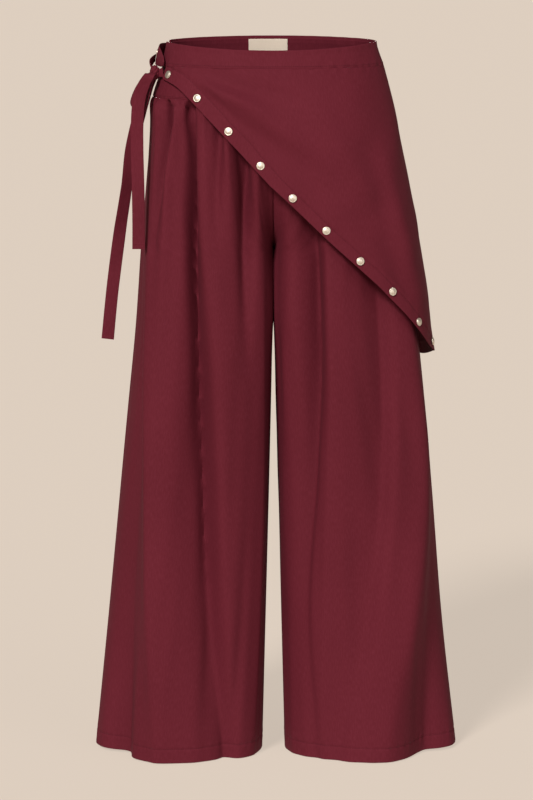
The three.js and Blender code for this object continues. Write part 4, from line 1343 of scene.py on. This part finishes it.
@dataclass
class Knot:
    """The bow's knot: a lump of cloth that a slanting turn of the strap wraps."""

    finishes: Finishes
    x: float = -168.5
    y: float = -30.0
    z: float = -39.5
    across: float = 7.5
    deep: float = 8.0
    tall: float = 10.5
    rows: int = 60
    columns: int = 72

    def build(self) -> None:
        """A sphere's grid, pinched along slanting grooves and swollen between them."""
        up = np.linspace(0, math.pi, self.rows)[1:-1, None]
        turn = (np.arange(self.columns) * 2 * math.pi / self.columns)[None]
        level = np.sin(up)
        body = np.stack(np.broadcast_arrays(level * np.cos(turn), level * np.sin(turn), np.cos(up)), -1)
        slant = body[..., 2] - 0.7 * body[..., 0]
        grooves = -0.13 * bump(slant - 0.34, 0.1) - 0.15 * bump(slant + 0.34, 0.1) + 0.05 * bump(slant, 0.3)
        creases = 0.02 * np.sin(14 * (body[..., 0] + 0.7 * body[..., 2]) + 2 * body[..., 1])
        sized = body * (1 + grooves + creases)[..., None] * (self.across, self.deep, self.tall)
        poles = np.array([[0, 0, self.tall], [0, 0, -self.tall]])
        points = np.concatenate([sized.reshape(-1, 3), poles]) + (self.x, self.y, self.z)
        rows, around = len(up), np.arange(self.columns)
        ahead = (around + 1) % self.columns
        top = np.stack([np.full(self.columns, rows * self.columns), around, ahead], -1)
        last = (rows - 1) * self.columns
        foot = np.stack([np.full(self.columns, rows * self.columns + 1), last + ahead, last + around], -1)
        faces = [grid_quads(rows, self.columns, False, True), np.concatenate([top, foot])]
        uv = np.stack([points[:, 0] + 0.7 * points[:, 1], points[:, 2]], -1) * MM
        knot = piece_from("bow_knot_cloth", points, faces, uv)
        dress(knot, self.finishes.face, ["bow_knot"])


@dataclass
class Label:
    """The blank label sewn inside the back of the waist."""

    finishes: Finishes
    first: float = -36.5
    last: float = 20.5
    top: float = 2.0
    low: float = -20.0
    wall: float = 0.6
    end_lift: float = 0.25
    seed: int = 91

    def build(self) -> None:
        """The label lies on the band's inside, so it is made from that inside's points, moved in."""
        heights = np.linspace(self.top, self.low, 24)[:, None]
        x = np.linspace(self.first, self.last, 60)[None]
        right, left = (SECTIONS.through("z", side, heights) for side in ("right", "left"))
        width = np.where(x < 0, right, left)
        turn = 270 - np.degrees(np.arcsin(signed_power(x / width, 1 / HIP_POWER)))
        outside = Cloth(OvalForm(SECTIONS).point(turn, heights), clockwise=True)
        inside = outside.moved(np.full(turn.shape, -(BAND_CLOTH + LAYER_GAP)))
        face = Cloth(inside.points[:, ::-1], clockwise=True)
        ends = bump(face.from_first, 5) + bump(face.from_last, 5)
        wave = LABEL_WAVES.at(self.seed, face.from_first, face.from_top)
        raised = face.moved(self.wall + self.end_lift * ends + wave)
        made = dress(raised.shell("label_tape", self.wall), self.finishes.tape, ["label"])


@dataclass(frozen=True)
class Sun:
    """A distant light: its strength, breadth in degrees and direction, and whether it casts shadows."""

    name: str
    energy: float
    spread: float
    direction: tuple[float, float, float]
    shadows: bool

    def shine(self, colour: tuple[float, float, float]) -> None:
        """Adds the light to the scene in a linear colour."""
        sun = bpy.data.lights.new(self.name, "SUN")
        sun.energy = self.energy
        sun.angle = math.radians(self.spread)
        sun.color = colour
        sun.use_shadow = self.shadows
        made = bpy.data.objects.new(self.name, sun)
        made.rotation_euler = Vector(self.direction).to_track_quat("-Z", "Y").to_euler()
        bpy.context.scene.collection.objects.link(made)


SUNS = (
    Sun("key", 3.9, 12, (0.45, 1.0, -0.78), True),
    Sun("fill", 1.0, 50, (-0.9, 1.0, -0.35), True),
    Sun("back", 2.2, 5, (0.0, -1.0, -0.12), False),
)


@dataclass
class Studio:
    """A plain floor, soft daylight and the photo's camera."""

    finishes: Finishes
    daylight: tuple[float, float, float] = (1.0, 0.965, 0.93)
    sky: str = "FBF5EC"
    sky_strength: float = 0.18
    floor_drop: float = 1.0
    floor_half: float = 40.0
    target: tuple[float, float, float] = (-10.15, 0.0, -515.0)
    distance: float = 5000.0
    pitch: float = 9.0
    view_height: float = 1160.0
    sensor: float = 36.0

    def floor(self) -> None:
        """A wide level sheet just under the hems."""
        half = self.floor_half / MM
        z = HEM - self.floor_drop
        points = np.array([(-half, -half, z), (half, -half, z), (half, half, z), (-half, half, z)])
        made = piece_from("studio_floor", points, [np.array([[0, 1, 2, 3]])], points[:, :2] * MM)
        made.data.materials.append(self.finishes.paper)

    def light(self) -> None:
        """A key from the photo's upper left, a weak fill from its right, a shadowless back light, a sky."""
        for sun in SUNS:
            sun.shine(self.daylight)
        world = bpy.data.worlds.new("studio_sky")
        world.use_nodes = True
        world.node_tree.nodes.clear()
        inputs = {"Color": srgb(self.sky), "Strength": self.sky_strength}
        sky = add_node(world.node_tree, "ShaderNodeBackground", inputs)
        add_node(world.node_tree, "ShaderNodeOutputWorld", {"Surface": sky.outputs[0]})
        bpy.context.scene.world = world

    def camera(self) -> None:
        """The photo's view: level sideways, looking down by the pitch, with zero shift."""
        lens = bpy.data.cameras.new("photo_camera")
        lens.sensor_width = self.sensor
        lens.lens = self.sensor * self.distance / self.view_height
        lens.clip_end = 100.0
        pitch = math.radians(self.pitch)
        away = np.array([0.0, -math.cos(pitch), math.sin(pitch)]) * self.distance
        made = bpy.data.objects.new("photo_camera", lens)
        made.location = Vector((np.array(self.target) + away) * MM)
        made.rotation_euler = (math.pi / 2 - pitch, 0.0, 0.0)
        bpy.context.scene.collection.objects.link(made)
        bpy.context.scene.camera = made

    def build(self) -> None:
        """Camera, floor and lights, shown with plain sRGB colours."""
        bpy.context.scene.view_settings.view_transform = "Standard"
        self.camera()
        self.floor()
        self.light()


def main() -> None:
    """Builds the trousers piece by piece around the frame."""
    logging.basicConfig(level=logging.INFO, format="%(message)s")
    finishes = Finishes()
    Studio(finishes).build()
    Legs(finishes).build()
    Waistbands(finishes).build()
    Overlay(finishes).build()
    rests = {
        "hip_tab": ["overlay_band_back"], "tie_front": ["overlay_front"], "tie_back": ["hip_tab"],
        "bow_loop": ["bow_knot"], "tie_tail_short": ["bow_knot"], "tie_tail_long": ["bow_knot"],
    }
    for name, carriers in rests.items():
        Strap(name).build(finishes, carriers)
    Knot(finishes).build()
    Label(finishes).build()
    tab = Strap("hip_tab")
    middle, _, face, _ = tab.places(np.array([TAB_SNAP_SHARE]))
    outward = face[0] if face[0, 0] < 0 else -face[0]
    Snaps(finishes).build(middle[0] + outward * tab.wall / 2, outward)


if __name__ == "__main__":
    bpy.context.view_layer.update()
    main()
